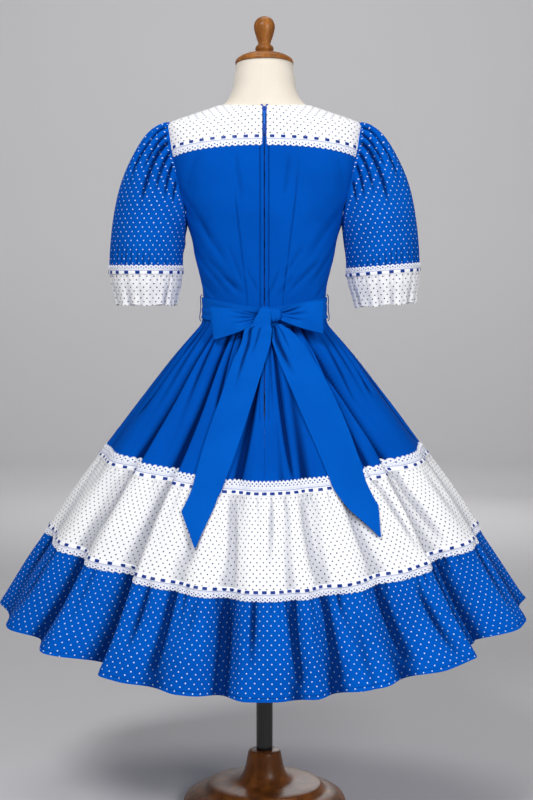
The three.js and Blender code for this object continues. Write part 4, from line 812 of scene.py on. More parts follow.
# %% The sleeve's lines
SLEEVE_X, SLEEVE_SIDE, SLEEVE_DEPTH, SLEEVE_Z, SLEEVE_STAND = 241.5, 75, 71, 1103, 0.2
CUFF_DROP = np.array([(0, 0), (22, 3), (46, 10.5), (66, 14.5)], float)  # below the seam, and how much narrower
CUFF_GAP = 0.6


def armhole_point(turn, off):
    """The armhole's edge on the outside of the bodice."""
    z = ARMHOLE_MIDDLE + ARMHOLE_HALF * np.cos(np.radians(turn))
    return bodice_point(azimuth_at_depth(z, armhole_depth(z, turn > 180)), z, off)


def cuff_point(turn, drop, shrink, tilt):
    """A ring below the cuff seam, tilted so that its outer side is higher."""
    c, s, lean = np.cos(np.radians(turn)), np.sin(np.radians(turn)), math.radians(tilt)
    x, y = (SLEEVE_SIDE - shrink) * c, -(SLEEVE_DEPTH - shrink) * s
    return np.stack(np.broadcast_arrays(SLEEVE_X + x * math.cos(lean) + drop * math.sin(lean), y,
                                        SLEEVE_Z + x * math.sin(lean) - drop * math.cos(lean)), axis=-1)


def sleeve_line(turn, t, tilt):
    """(1-t)^3 a + 3 (1-t)^2 t b + 3 (1-t) t^2 c + t^3 d, with b and c steering the ends."""
    c, s = np.cos(np.radians(turn)), np.sin(np.radians(turn))
    start, end = armhole_point(turn, SLEEVE_STAND), cuff_point(turn, 0.0, 0.0, tilt)
    b = start + np.stack([22 + 19 * c, -18 * s, -6 + 14.5 * c], axis=-1)
    d = end + np.stack([-1.25 - 1.25 * c, -10 * s, 127 + 88 * c], axis=-1)
    t = t[..., None]
    return (1 - t) ** 3 * start + 3 * (1 - t) ** 2 * t * b + 3 * (1 - t) * t**2 * d + t**3 * end


# folds that run down from the cap: turn at the top and bottom, length as a share, half width, depth
CAP_FOLDS = np.array([
    (8, 26, .5, 7, 8), (22, 44, .7, 7, 11), (37, 60, .55, 6, 9), (51, 76, .75, 7, 11), (65, 88, .52, 6, 8),
    (79, 104, .45, 7, 6.5), (-8, -22, .55, 6, 8), (-22, -42, .66, 7, 10.5), (-38, -60, .55, 6, 8.5),
    (-53, -76, .68, 7, 10), (-70, -90, .45, 7, 7), (98, 116, .35, 8, 4.5), (-98, -114, .35, 8, 4.5)])


def sleeve_pressed(turn, t, phase):
    """Folds of the cap, small gathers at both seams, and a few soft bends across the sleeve."""
    total = np.zeros(np.broadcast(turn, t).shape)
    for top, bottom, length, half_width, depth in CAP_FOLDS:
        line = mix(top, bottom, np.clip(t / length, 0, 1)) + phase
        away = (turn - line + 180) % 360 - 180
        grown = ease01(t / 0.07) * (1 - ease01((t - 0.3 * length) / (0.7 * length)))
        total += depth * grown * bell(away / (half_width * (0.75 + 0.8 * t)))
    a = np.radians(turn) + phase
    fine = (0.5 - 0.5 * np.cos(44 * a + 1.5 * np.sin(5 * a) + np.sin(11 * a))) ** 1.5
    cuff = (0.5 - 0.5 * np.cos(34 * a + 1.7 * np.sin(4 * a) + 0.8 * np.sin(9 * a + 1))) ** 1.5
    total += 1.6 * fine * ease01(t / 0.02) * (1 - ease01((t - 0.03) / 0.16)) * np.cos(a / 2) ** 2
    total += 1.5 * cuff * ease01((t - 0.84) / 0.1) * (1 - ease01((t - 0.965) / 0.035))
    soft = np.sin(3 * a + 9 * t) * np.sin(2.2 * np.pi * t + 2 * a) + 0.6 * np.sin(5 * a - 13 * t)
    return total + 1.3 * soft * np.sin(np.pi * t) ** 2


def sleeve_grid(tilt, side, phase, rows=62, columns=216):
    turn = np.linspace(0, 360, columns, endpoint=False)[None, :]
    t = np.concatenate([np.linspace(0, 0.2, rows // 3, endpoint=False), np.linspace(0.2, 1, rows - rows // 3)])[:, None]
    plain = sleeve_line(np.broadcast_to(turn, (rows, columns)), np.broadcast_to(t, (rows, columns)), tilt)
    spine = plain.mean(axis=1, keepdims=True)
    pressed = plain - grid_normals(plain, True, spine) * sleeve_pressed(turn, t, phase)[..., None]
    uv = lengths_uv(plain, wrap=True, width=530)
    uv[..., 1] -= uv[-1:, :, 1]
    return pressed * np.array([side, 1, 1]), uv


def cuff_grid(tilt, side, phase, rows=17, columns=188):
    """The cuff flares into small waves towards its lower edge."""
    turn = np.linspace(0, 360, columns, endpoint=False)[None, :]
    drop = np.linspace(CUFF_GAP, CUFF_DROP[-1, 0], rows)[:, None]
    shrink = np.interp(drop, CUFF_DROP[:, 0], CUFF_DROP[:, 1])
    a, down = np.radians(turn) + phase, (drop - CUFF_GAP) / CUFF_DROP[-1, 0]
    waves = np.sin(13 * a + 1.4 * np.sin(3 * a)) + 0.6 * np.sin(21 * a + 2 * np.sin(2 * a))
    gather = (0.5 - 0.5 * np.cos(40 * a + 1.6 * np.sin(5 * a))) * ease01(down / 0.1) * (1 - ease01((down - 0.15) / 0.4))
    grid = cuff_point(turn, drop + 1.6 * np.sin(7 * a) * down, shrink + 1.2 * gather - 2.3 * waves * down, tilt)
    return grid * np.array([side, 1, 1])


# %% Sleeves and cuffs
SLEEVES = [("right", 4.5, 1, 0.0), ("left", 0.0, -1, 0.35)]  # name, tilt, side, phase of the gathers
for word, tilt, side, phase in SLEEVES:
    grid, uv = sleeve_grid(tilt, side, phase)
    made = cloth("sleeve_" + word, grid, uv, wrap=True, centre=grid.mean(axis=1, keepdims=True))
    finish_piece(made, BLUE_DOT, instead_of=["sleeve_" + word])
    grid = cuff_grid(tilt, side, phase)
    made = cloth("cuff_" + word, grid, lengths_uv(grid, wrap=True), wrap=True, centre=grid.mean(axis=1, keepdims=True))
    finish_piece(made, WHITE_DOT, instead_of=["cuff_" + word])

# %% [markdown]
# ## Lace
# The trims are a woven lace: a firm heading with slots for a ribbon, a band of net and a scalloped edge
# with a small eyelet in each scallop. The band is a grid whose last row swings in and out. It could be
# an image with holes, but real edges cast real shadows, so the edge, the eyelet rings and the ribbon
# are all geometry. The net, its small holes and the raised lines are a pattern in the material.

# %% Lace, ribbon and eyelets
LIFT, SCALLOP_DEPTH, EYELET_IN = 0.4, 4.0, 4.6


def lace_finish():
    """White cotton lace over blue cloth. The print's x is 10 mm for each scallop and its y is 0 at the ribbon
    and 13 mm at the eyelets."""
    f = Finish("cotton_lace", roughness=0.85, specular=0.1)
    flat = f.vector("MULTIPLY", f.uv(), (1.0, 1.0, 0.0))
    split = f.node("SeparateXYZ", Vector=flat)
    along, down = split.node.outputs[0], split.node.outputs[1]

    def distance_to(shift, height):
        x = f.math("SUBTRACT", f.math("WRAP", f.math("ADD", along, shift), 0.01, 0.0), 0.005)
        y = f.math("SUBTRACT", down, height)
        return f.math("SQRT", f.math("ADD", f.math("MULTIPLY", x, x), f.math("MULTIPLY", y, y)))

    from_eyelet, from_gap = distance_to(0.0, 0.013), distance_to(0.005, 0.0102)
    hole = f.math("MAXIMUM", f.ramp(from_eyelet, 0.0014, 0.0018, 1.0, 0.0), f.ramp(from_gap, 0.0010, 0.0014, 1.0, 0.0))
    arc = f.ramp(f.math("ABSOLUTE", f.math("SUBTRACT", from_eyelet, 0.0039)), 0.0003, 0.0007, 0.5, 0.0)
    line = f.ramp(f.math("ABSOLUTE", f.math("SUBTRACT", down, 0.0043)), 0.0004, 0.0009, 0.85, 0.0)
    turned = f.node("VectorRotate", settings={"rotation_type": "Z_AXIS"}, Vector=flat, Angle=math.radians(45))
    cell = f.vector("ABSOLUTE", f.vector("WRAP", turned, (0.0011, 0.0011, 1.0), (-0.0011, -0.0011, -1.0)))
    away = f.node("SeparateXYZ", Vector=cell)
    mesh_hole = f.ramp(f.math("MINIMUM", away.node.outputs[0], away.node.outputs[1]), 0.0001, 0.0004)
    net_zone = f.math("MULTIPLY", f.ramp(down, 0.0048, 0.0054), f.ramp(down, 0.0076, 0.0088, 0.5, 0.0))
    see_through = f.math("MAXIMUM", f.math("MAXIMUM", arc, line), f.math("MULTIPLY", net_zone, mesh_hole))
    white = f.blend(f.ramp(f.noise(flat, 220.0), 0.4, 0.6), (0.90, 0.90, 0.92, 1), (0.85, 0.86, 0.90, 1))
    netted = f.blend(see_through, white, (0.22, 0.28, 0.52, 1))
    f.put(f.shader.inputs["Base Color"], f.blend(hole, netted, (0.004, 0.055, 0.27, 1)))
    height = f.math("SUBTRACT", f.noise(flat, 900.0), f.math("MAXIMUM", hole, see_through))
    f.put(f.shader.inputs["Normal"], f.bump(height, 0.4, 0.8))
    return f.material


def ribbon_finish():
    """Satin ribbon: fine ribs across its width give a silky shine along it."""
    f = Finish("satin_ribbon", roughness=0.4, specular=0.2)
    body = f.blend(f.noise(f.place(), 60.0), (0.0002, 0.025, 0.20, 1), (0.0004, 0.036, 0.27, 1))
    f.put(f.shader.inputs["Base Color"], body)
    f.put(f.shader.inputs["Normal"], f.bump(f.noise(f.vector("MULTIPLY", f.place(), (1.0, 1.0, 9.0)), 400.0), 0.05))
    return f.material


LACE_WHITE, RIBBON = lace_finish(), ribbon_finish()


def scatter(name, shape, faces, origins, axes):
    """One mesh of many copies of a small shape. Each copy's x, y and z run along the three given
    directions at its origin, so a point is origin + x a + y b + z c."""
    points = origins[:, None, :] + np.einsum("pk,nkd->npd", shape, axes)
    index = faces[None] + (np.arange(len(origins)) * len(shape))[:, None, None]
    return make_mesh(name, points.reshape(-1, 3), [index.reshape(-1, faces.shape[1])])


def ring_shape(radius, wall, around=10, section=4):
    """A torus: a small circle carried round a large one."""
    u = np.linspace(0, 2 * np.pi, around, endpoint=False)[:, None]
    v = np.linspace(0, 2 * np.pi, section, endpoint=False)[None, :]
    r = radius + wall * np.cos(v)
    points = np.stack(np.broadcast_arrays(r * np.cos(u), r * np.sin(u), wall * np.sin(v)), axis=-1).reshape(-1, 3)
    i = np.arange(around * section).reshape(around, section)
    right, below = np.roll(i, -1, axis=0), np.roll(i, -1, axis=1)
    return points, np.stack([i, right, np.roll(right, -1, axis=1), below], axis=-1).reshape(-1, 4)


def pillow_shape(width, height, thick, across=5, down=4):
    """A small slightly domed patch, closed: its thickness falls to a thin edge all round."""
    x, y = np.meshgrid(np.linspace(-1, 1, across), np.linspace(-1, 1, down))
    dome = thick * (1 - 0.55 * x**2) * (1 - 0.25 * y**2)
    top = np.stack([x * width / 2, y * height / 2, dome], axis=-1).reshape(-1, 3)
    points = np.concatenate([top, top * [1, 1, 0]])
    i, n = np.arange(across * down).reshape(down, across), across * down
    out = np.stack([i[:-1, :-1], i[:-1, 1:], i[1:, 1:], i[1:, :-1]], axis=-1).reshape(-1, 4)
    loop = np.concatenate([i[0, :-1], i[:-1, -1], i[-1, :0:-1], i[:0:-1, 0]])
    following = np.roll(loop, -1)
    rim = np.stack([loop, loop + n, following + n, following], axis=-1)
    return points, np.concatenate([out, out[:, ::-1] + n, rim])


def lace_band(name, surface, core, length, columns, scallop, width, dash=19.0, heading=4.5, wrap=False):
    """Lace along a seam. surface(s, d) gives the points of the cloth at shares s along the seam and at
    distances d in mm from the ribbon's middle line, negative over the heading. core is a point inside.
    The edge's distance is width - depth (1 - |sin|^0.6), which is a row of round scallops."""
    s = np.linspace(0, 1, columns + 1)[None, :]
    wave = np.abs(np.sin(np.pi * s * length / scallop)) ** 0.6
    edge = width - SCALLOP_DEPTH * (1 - wave)
    share = np.array([0, 0.12, 0.3, 0.42, 0.62, 0.84, 1.0])[:, None]
    distance = mix(-heading, edge, share)
    grid = surface(s, distance)
    uv = np.stack(np.broadcast_arrays(s * length / scallop * 10, distance * 13 / (width - EYELET_IN)), axis=-1)
    normal = grid_normals(grid, False, core)
    relief = np.interp(share, [0, 0.1, 0.3, 0.42, 0.62, 0.84, 1], [0.5, 0.9, 0.9, 0.6, 0.6, 0.9, 0.7])
    outer, inner = grid + (LIFT + relief[..., None]) * normal, grid + LIFT * normal
    if wrap:
        outer, inner = outer[:, :-1], inner[:, :-1]
    made = finish_piece(shell(name, outer, inner, uv, wrap=wrap), LACE_WHITE, instead_of=[name])
    count = int(length / scallop)
    middle = (np.arange(count) + 0.5) * scallop / length
    ring_points, ring_faces = ring_shape(2.25, 0.62)
    add_along(name + "_eyelets", surface, core, middle, width - EYELET_IN, 0.75 + LIFT, ring_points, ring_faces,
              LACE_WHITE)
    count = max(2, round(length / dash))
    middle = (np.arange(count) + 0.5) / count
    dash_points, dash_faces = pillow_shape(9.0, 5.8, 0.9)
    add_along(name + "_ribbon", surface, core, middle, 0.0, LIFT + 0.75, dash_points, dash_faces, RIBBON)


def add_along(name, surface, core, s, distance, lift, shape, faces, material):
    """Copies of a shape along a lace: x runs along the seam, y across it and z away from the core."""
    d, tiny = np.full_like(s, distance), 0.0005
    here = surface(s[None], d[None])[0]
    along = surface(s[None] + tiny, d[None])[0] - surface(s[None] - tiny, d[None])[0]
    across = surface(s[None], d[None] + 0.5)[0] - surface(s[None], d[None] - 0.5)[0]
    along /= np.linalg.norm(along, axis=-1, keepdims=True)
    normal = np.cross(along, across)
    normal /= np.linalg.norm(normal, axis=-1, keepdims=True)
    normal *= np.sign(np.sum(normal * (here - core), axis=-1, keepdims=True))
    across = np.cross(normal, along)
    made = scatter(name, shape, faces, here + lift * normal, np.stack([along, across, normal], axis=1))
    return finish_piece(made, material)


def skirt_lace(level, direction, reach_level):
    """Lace on a skirt seam: distances turn into levels by the seam's own slope."""
    def surface(s, d):
        azimuth = 360 * s - 180
        down = skirt_body(azimuth, level) - skirt_body(azimuth, level + reach_level)
        per_mm = reach_level / np.linalg.norm(down, axis=-1)
        return skirt_point(azimuth, level + direction * d * per_mm)
    return surface


def ring_length(level):
    line = skirt_body(np.linspace(0, 360, 721), level)
    return float(np.linalg.norm(np.diff(line, axis=0), axis=-1).sum())


lace_band("lace_skirt_upper", skirt_lace(0.994, -1, 0.05), INSIDE_SKIRT, ring_length(1.0), 1380, 9.6, 17.5, wrap=True)
lace_band("lace_skirt_lower", skirt_lace(2.004, 1, 0.05), INSIDE_SKIRT, ring_length(2.0), 1800, 9.8, 18.5, wrap=True)


def even_turn(share, front):
    """The share of the turn from the centre to the side that has this share of the seam's length."""
    z = 1327.0 if front else 1360.0
    turn = np.linspace(0, 1, 120)
    edge = (180 - panel_edge(z, True)) if front else panel_edge(z, False)
    points = bodice_point((180 if front else 0) + turn * edge, z)
    run = np.concatenate([[0], np.cumsum(np.linalg.norm(np.diff(points, axis=0), axis=-1))])
    return np.interp(share, run / run[-1], turn)


def yoke_lace(low_seam, opening, front, side=1):
    """Lace on a yoke seam, hanging down over the bodice. It stops just short of the sleeves."""
    def surface(s, d):
        share = np.abs(2 * s - 1) if front else s
        z = low_seam(share) - d
        edge = panel_edge(np.clip(z, ARMHOLE_BOTTOM + 1, None), front)
        pull = np.degrees(2.5 / 190)
        if front:
            return bodice_surface(180 + np.sign(2 * s - 1) * even_turn(share, True) * (180 - edge - pull), z)
        centre = np.degrees(np.arctan(opening / 92.0))
        return bodice_surface(side * mix(centre, edge - pull, even_turn(s, False)), z)
    return surface


CHEST = np.array([0, 0, 1340.0])
for word, side in (("right", 1), ("left", -1)):
    lace_band("lace_yoke_back_" + word, yoke_lace(yoke_seam_back, YOKE_OPENING, False, side), CHEST, 192.0, 200, 11.3,
              18.5, dash=21.5, heading=3.5)
lace_band("lace_yoke_front", yoke_lace(yoke_seam_front, 0, True), CHEST, 375.0, 400, 11.3, 18.5, dash=21.5, heading=3.5)


def cuff_lace(tilt, side):
    """Lace over a cuff seam: upwards over the sleeve, and its heading downwards over the cuff."""
    def surface(s, d):
        turn = np.broadcast_to((360 * s) % 360, np.broadcast(s, d).shape)
        up, down = np.clip(d, 0, None), np.clip(-d, 0, None)
        t = 1 - up / (3 * (127 + 88 * np.cos(np.radians(turn))))
        on_sleeve = sleeve_line(turn, t, tilt)
        on_cuff = cuff_point(turn, down, down * 0.12, tilt)
        return np.where((d >= 0)[..., None], on_sleeve, on_cuff) * np.array([side, 1, 1])
    return surface


for word, tilt, side, _ in SLEEVES:
    lace_band("lace_cuff_" + word, cuff_lace(tilt, side), np.array([side * SLEEVE_X, 0, SLEEVE_Z]), 459.0, 384, 9.6,
              15.0, dash=22.5, heading=3.5, wrap=True)

# %% [markdown]
# ## The sash and its bow
# The sash is a folded strip round the waist, tied at the back. Its band follows the waist, and its bow
# is made of the parts that a tied bow has: two loops that run out from the knot, turn and come back, a knot
# that is wrapped round them, and two tails that hang over the skirt and end in points. A path through
# a few named points, smoothed by a Catmull-Rom curve, carries each of them.

# %% Round bodies and smooth paths
def smooth_path(points, count):
    """Catmull-Rom curve: between two points, the cubic whose end slopes are half the step between the
    neighbours on either side."""
    points = np.asarray(points, float)
    ends = np.concatenate([[2 * points[0] - points[1]], points, [2 * points[-1] - points[-2]]])
    at = np.linspace(0, len(points) - 1, count)
    i = np.minimum(at.astype(int), len(points) - 2)
    t = (at - i).reshape(-1, *[1] * (points.ndim - 1))
    p0, p1, p2, p3 = (ends[i + k] for k in range(4))
    return 0.5 * (2 * p1 + (p2 - p0) * t + (2 * p0 - 5 * p1 + 4 * p2 - p3) * t**2 + (3 * p1 - p0 - 3 * p2 + p3) * t**3)


def round_body(name, rings, first, last, uv=None, sharp=50):
    """A closed body from wrapped rings of points and a pole at either end."""
    rows, columns = rings.shape[:2]
    index = np.arange(rows * columns).reshape(rows, columns)
    index = np.concatenate([index, index[:, :1]], axis=1)
    points = np.concatenate([rings.reshape(-1, 3), [first, last]])
    side = np.stack([index[:-1, :-1], index[:-1, 1:], index[1:, 1:], index[1:, :-1]], axis=-1).reshape(-1, 4)
    pole = np.full(columns, rows * columns)
    caps = np.concatenate([np.stack([pole, index[0, 1:], index[0, :-1]], axis=-1),
                           np.stack([pole + 1, index[-1, :-1], index[-1, 1:]], axis=-1)])
    corner_uv = None
    if uv is not None:
        cell = np.arange(rows * (columns + 1)).reshape(rows, columns + 1)
        flat = uv.reshape(-1, 2)
        corner_uv = [flat[np.stack([cell[:-1, :-1], cell[:-1, 1:], cell[1:, 1:], cell[1:, :-1]],
                                   axis=-1).reshape(-1, 4)],
                     flat[np.concatenate([np.stack([cell[0, :-1], cell[0, 1:], cell[0, :-1]], axis=-1),
                                          np.stack([cell[-1, :-1], cell[-1, :-1], cell[-1, 1:]], axis=-1)])]]
    return make_mesh(name, points, [side, caps], corner_uv, sharp)


def tube(name, path, radius, sides=12):
    """A closed tube: circles across the path, in two directions square to it."""
    along = np.gradient(path, axis=0)
    along /= np.linalg.norm(along, axis=-1, keepdims=True)
    first = np.cross(along, np.broadcast_to([0.02, 1.0, 0.03], along.shape))
    first /= np.linalg.norm(first, axis=-1, keepdims=True)
    second = np.cross(along, first)
    turn = np.linspace(0, 2 * np.pi, sides, endpoint=False)[None, :, None]
    rings = path[:, None] + radius * (np.cos(turn) * first[:, None] + np.sin(turn) * second[:, None])
    return round_body(name, rings, path[0], path[-1])


# %% The band of the sash
BELT_TOP_SIDE, BELT_TOP_BACK, BELT_LOW_SIDE, BELT_LOW_BACK, BELT_OFF, SASH = 1053, 1032, 1010, 992, 3.2, 2.0
LOOP_BEYOND, LOOP_RADIUS = 6, 0.9
LOOP_ENDS_OFF, LOOP_OVER_OFF = 1.5, 5.7  # distance off the waist: at the sewn ends, and over the sash


def waist_point(azimuth, z, off):
    """The outside of the waist: the bodice above the waist seam and the skirt's body below it."""
    azimuth, z = np.broadcast_arrays(azimuth, z)
    seam, first = waist_height(azimuth), SKIRT[0]
    below_z = mix(first[4], first[5], np.abs(np.cos(np.radians(azimuth))) ** DROP)
    below = skirt_body(azimuth, np.clip(first[0] * (seam - z) / (seam - below_z), 0, None), off)
    return np.where((z >= seam)[..., None], bodice_point(azimuth, z, off), below)


azimuth = np.linspace(0, 360, 224, endpoint=False)[None, :]
t = np.linspace(0, 1, 18)[:, None]
back = np.clip(np.cos(np.radians(azimuth)), 0, None) ** 2
z = mix(mix(BELT_TOP_SIDE, BELT_TOP_BACK, back), mix(BELT_LOW_SIDE, BELT_LOW_BACK, back), t)
a = np.radians(azimuth)
crease = (0.9 * np.sin(2 * np.pi * (2.1 * t + 0.25 * np.sin(2 * a) + 0.1 * np.sin(5 * a)))
          + 0.5 * np.sin(2 * np.pi * (3.6 * t + 0.3 * np.sin(3 * a + 1)))) * np.sin(np.pi * t) ** 0.5
grid = waist_point(azimuth, z, BELT_OFF + 0.7 * crease)
made = cloth("belt", grid, lengths_uv(grid, wrap=True), SASH, wrap=True, centre=on_axis(grid))
finish_piece(made, SASH_BLUE, instead_of=["belt"])
for word, side in (("right", 1), ("left", -1)):
    heights = np.array([BELT_TOP_SIDE + LOOP_BEYOND, BELT_TOP_SIDE, (BELT_TOP_SIDE + BELT_LOW_SIDE) / 2, BELT_LOW_SIDE,
                        BELT_LOW_SIDE - LOOP_BEYOND])
    off = np.array([LOOP_ENDS_OFF, LOOP_OVER_OFF, LOOP_OVER_OFF, LOOP_OVER_OFF, LOOP_ENDS_OFF])
    route = waist_point(90.0, heights, off) * [side, 1, 1]
    made = tube("belt_loop_" + word, smooth_path(route, 40), LOOP_RADIUS)
    finish_piece(made, RIBBON, instead_of=["belt_loop_" + word])

# %% Loops of the bow
KNOT_X, KNOT_Z, KNOT_WIDTH, KNOT_HEIGHT, KNOT_DEPTH, KNOT_STAND = 12.0, 1018.0, 42.0, 32.0, 22.0, 0.5
BELT_BACK = float(waist_point(0.0, KNOT_Z, BELT_OFF)[1])
LOOP_AT_KNOT = 0.3  # share of a loop's height that the knot leaves
# share of the reach and distance behind the sash, along the loop
LOOP_PATH = [(0, 8), (.3, 3.5), (.62, 2.8), (.9, 5), (1, 12), (.94, 19), (.66, 23), (.32, 20), (0, 13)]
# pleats of a loop: upward share at the knot and at their end, where they end, half width, depth
LEFT_PLEATS = [(.74, .93, .72, .05, 5), (.60, .70, .66, .06, 6.5), (.45, .44, .60, .06, 6), (.30, .20, .45, .05, 3.5),
               (.86, .99, .5, .04, 3)]
RIGHT_PLEATS = [(.74, .95, .66, .055, 5.5), (.58, .66, .74, .06, 6), (.40, .34, .6, .06, 5.5), (.26, .14, .4, .05, 3)]
# side, reach, height of the lower and the upper edge at the far end, how much shorter the lower edge is
BOW_LOOPS = {"left": (-1, 101.5, 969, 1033, 0.1, LEFT_PLEATS), "right": (1, 85, 982, 1046, 0.015, RIGHT_PLEATS)}


def bow_loop(side, reach_mm, low, high, shorter, pleats):
    """A strip along the path. Its height at a share of the reach is mix(0.3, 1, out) at the lower edge and
    mix(0.3, 1, 1 - (1 - out)^2) at the upper one, times the full height."""
    out, near = smooth_path(LOOP_PATH, 90).T[:, None, :]
    up = np.linspace(0, 1, 46)[:, None]
    spread = mix(LOOP_AT_KNOT, 1, mix(out, 1 - (1 - out) ** 2, up))
    z = mix(KNOT_Z, mix(low, high, up), spread) - 2.5 * np.sin(np.pi * out) * (1 - up)
    front = ease01((near - 8) / 6)
    pressed = np.zeros(np.broadcast(up, out).shape)
    for at_knot, at_end, length, half_width, depth in pleats:
        line = mix(at_knot, at_end, out / length)
        width = half_width * (1.7 - 0.8 * np.clip(out / length, 0, 1))
        pressed += depth * np.exp(-((up - line) / width) ** 2) * (1 - ease01((out - 0.3 * length) / (0.7 * length)))
    swell = 3.0 * np.sin(np.pi * up) ** 0.8 * np.sin(np.pi * np.clip(out, 0, 1)) + 1.4 * np.sin(7 * out + 4 * up)
    y = BELT_BACK - SASH - LIFT - near + (pressed - swell) * front
    x = KNOT_X + side * (KNOT_WIDTH / 2 + 0.2) + side * reach_mm * out * (1 - shorter * (1 - up))
    return np.stack(np.broadcast_arrays(x, y, z), axis=-1)


for word, (side, *sizes) in BOW_LOOPS.items():
    grid = bow_loop(side, *sizes)
    core = np.array([KNOT_X + side * 70.0, BELT_BACK - 14.0, KNOT_Z])
    made = cloth("bow_loop_" + word, grid, lengths_uv(grid), centre=core)
    finish_piece(made, SASH_BLUE, instead_of=["bow_loop_" + word])

# %% The knot
# Poles on the x axis: a squarish ring across it, with grooves where the wrapped cloth is pleated.
phi = np.linspace(0, np.pi, 60)[1:-1, None]
theta = np.linspace(0, 2 * np.pi, 80, endpoint=False)[None, :]
across = -np.cos(phi)
lean = across + 0.16 * np.sin(theta + 0.4)
# pleats in the wrapped cloth: place across the knot, width and depth, as shares of its half width
KNOT_GROOVES = ((0.30, 0.07, 0.13), (0.62, 0.06, 0.16), (-0.2, 0.08, 0.1), (-0.6, 0.07, 0.12))
groove = sum(depth * np.exp(-((lean - at) / width) ** 2) for at, width, depth in KNOT_GROOVES)
square = (np.abs(np.cos(theta)) ** 2.6 + np.abs(np.sin(theta)) ** 2.6) ** (-1 / 2.6)
size = np.sin(phi) ** 0.5 * (1 - groove * np.sin(phi)) * square
knot_y = BELT_BACK - KNOT_STAND - KNOT_DEPTH / 2
rings = np.stack(np.broadcast_arrays(KNOT_X + KNOT_WIDTH / 2 * across,
                                     knot_y + 0.96 * KNOT_DEPTH / 2 * size * np.cos(theta),
                                     KNOT_Z + 0.92 * KNOT_HEIGHT / 2 * size * np.sin(theta)), axis=-1)
centre = np.array([KNOT_X, knot_y, KNOT_Z])
uv = np.stack(np.broadcast_arrays(np.linspace(0, 95, 81)[None, :], 40 * phi / np.pi), axis=-1)
made = round_body("bow_knot", rings, centre - [KNOT_WIDTH / 2, 0, 0], centre + [KNOT_WIDTH / 2, 0, 0], uv)
finish_piece(made, SASH_BLUE, instead_of=["bow_knot"])

# %% Tails of the bow
# running share, x and level of the left edge, x and level of the right edge, distance off the skirt
TAILS = {
    "left": np.array([(0, -32, .08, 12, .08, 22), (.1, -42, .17, 11, .15, 12), (.22, -57, .27, 2, .26, 8),
                      (.42, -87, .52, -22, .49, 5), (.64, -116, .77, -49, .73, 4), (.9, -156, 1.24, -87, 1.04, 4)]),
    "right": np.array([(0, 15, .05, 30, .04, 12), (.1, 14, .13, 61, .13, 9), (.22, 24, .24, 88, .25, 6),
                       (.42, 58, .48, 134, .50, 4), (.64, 99, .76, 174, .79, 2.5), (.9, 161, 1.23, 216, 1.25, 4)])}
TAIL_TIPS = {"left": (1, -130, 1.6, -128, 1.6, 4), "right": (1, 217, 1.59, 219, 1.59, 4)}
# The left tail starts over the knot: x of both edges, height, distance out from the sash.
OVER_KNOT = np.array([(-3, 8, 1035.2, 14), (-8, 11, 1029, 23.8), (-15, 12.5, 1018, 25.4), (-26, 12.5, 998, 27.6)])
# creases of a tail: share across it at the top and at the end, where they end, half width, depth
TAIL_CREASES = {"left": [(.22, .36, .34, .06, 3.2), (.55, .45, .22, .05, 1.6)],
                "right": [(.18, .26, .30, .10, 7.0), (.5, .44, .22, .06, 2.2)]}


def azimuth_at_x(x, level):
    azimuth = np.zeros(np.shape(x))
    for _ in range(30):
        p = skirt_body(azimuth, level)
        azimuth = np.degrees(np.arcsin(np.clip(x / np.hypot(p[..., 0], p[..., 1]), -1, 1)))
    return azimuth


def tail_grid(word, columns=28):
    """Rows between two edges, on the skirt from top to tip. The left tail has rows over the knot before."""
    table, tip = TAILS[word], np.array(TAIL_TIPS[word])
    body = smooth_rows(table, np.linspace(0, 0.9, 90), True)
    point = mix(table[-1], tip, np.linspace(0, 1, 26)[1:, None])
    rows = np.concatenate([body, point])[:, None, :]
    t = np.linspace(0, 1, columns)[None, :]
    _, x_left, level_left, x_right, level_right, off = np.moveaxis(rows, -1, 0)
    x, level = mix(x_left, x_right, t), mix(level_left, level_right, t)
    run = np.linspace(0, 1, len(rows))[:, None]
    bend = 1.6 * np.sin(2 * np.pi * (1.4 * run + 0.2)) * np.sin(np.pi * t) + 2.2 * np.sin(np.pi * t) * run * (1 - run)
    for at_top, at_end, length, half_width, depth in TAIL_CREASES[word]:
        line = mix(at_top, at_end, run / length)
        gone = 1 - ease01((run - 0.3 * length) / (0.7 * length))
        bend = bend - depth * np.exp(-((t - line) / half_width) ** 2) * gone
    grid = skirt_body(azimuth_at_x(x, level), level, off + CLOTH + bend)
    if word == "left":
        left, right, z, near = OVER_KNOT.T[:, :, None]
        knot = np.stack(np.broadcast_arrays(mix(left, right, t), BELT_BACK - near, z), axis=-1)
        control = np.concatenate([knot, grid[:1], grid[12:13]])
        start = smooth_path(control, 10 * (len(control) - 1) + 1)
        grid = np.concatenate([start[:10 * len(knot)], grid])
    return grid


for word, length, widest in (("left", 0.52, 0.086), ("right", 0.5, 0.088)):
    grid = tail_grid(word)
    made = cloth("bow_tail_" + word, grid, lengths_uv(grid), centre=INSIDE_SKIRT)
    finish_piece(made, SASH_BLUE, instead_of=["bow_tail_" + word])

# %% [markdown]
# ## The dress form and its stand
# The torso is the figure itself, a little smaller under the bodice. The turned parts are profiles
# spun round the axis. A profile of straight steps is rounded by cutting its corners three times, which
# turns it into a smooth curve inside the same outline.

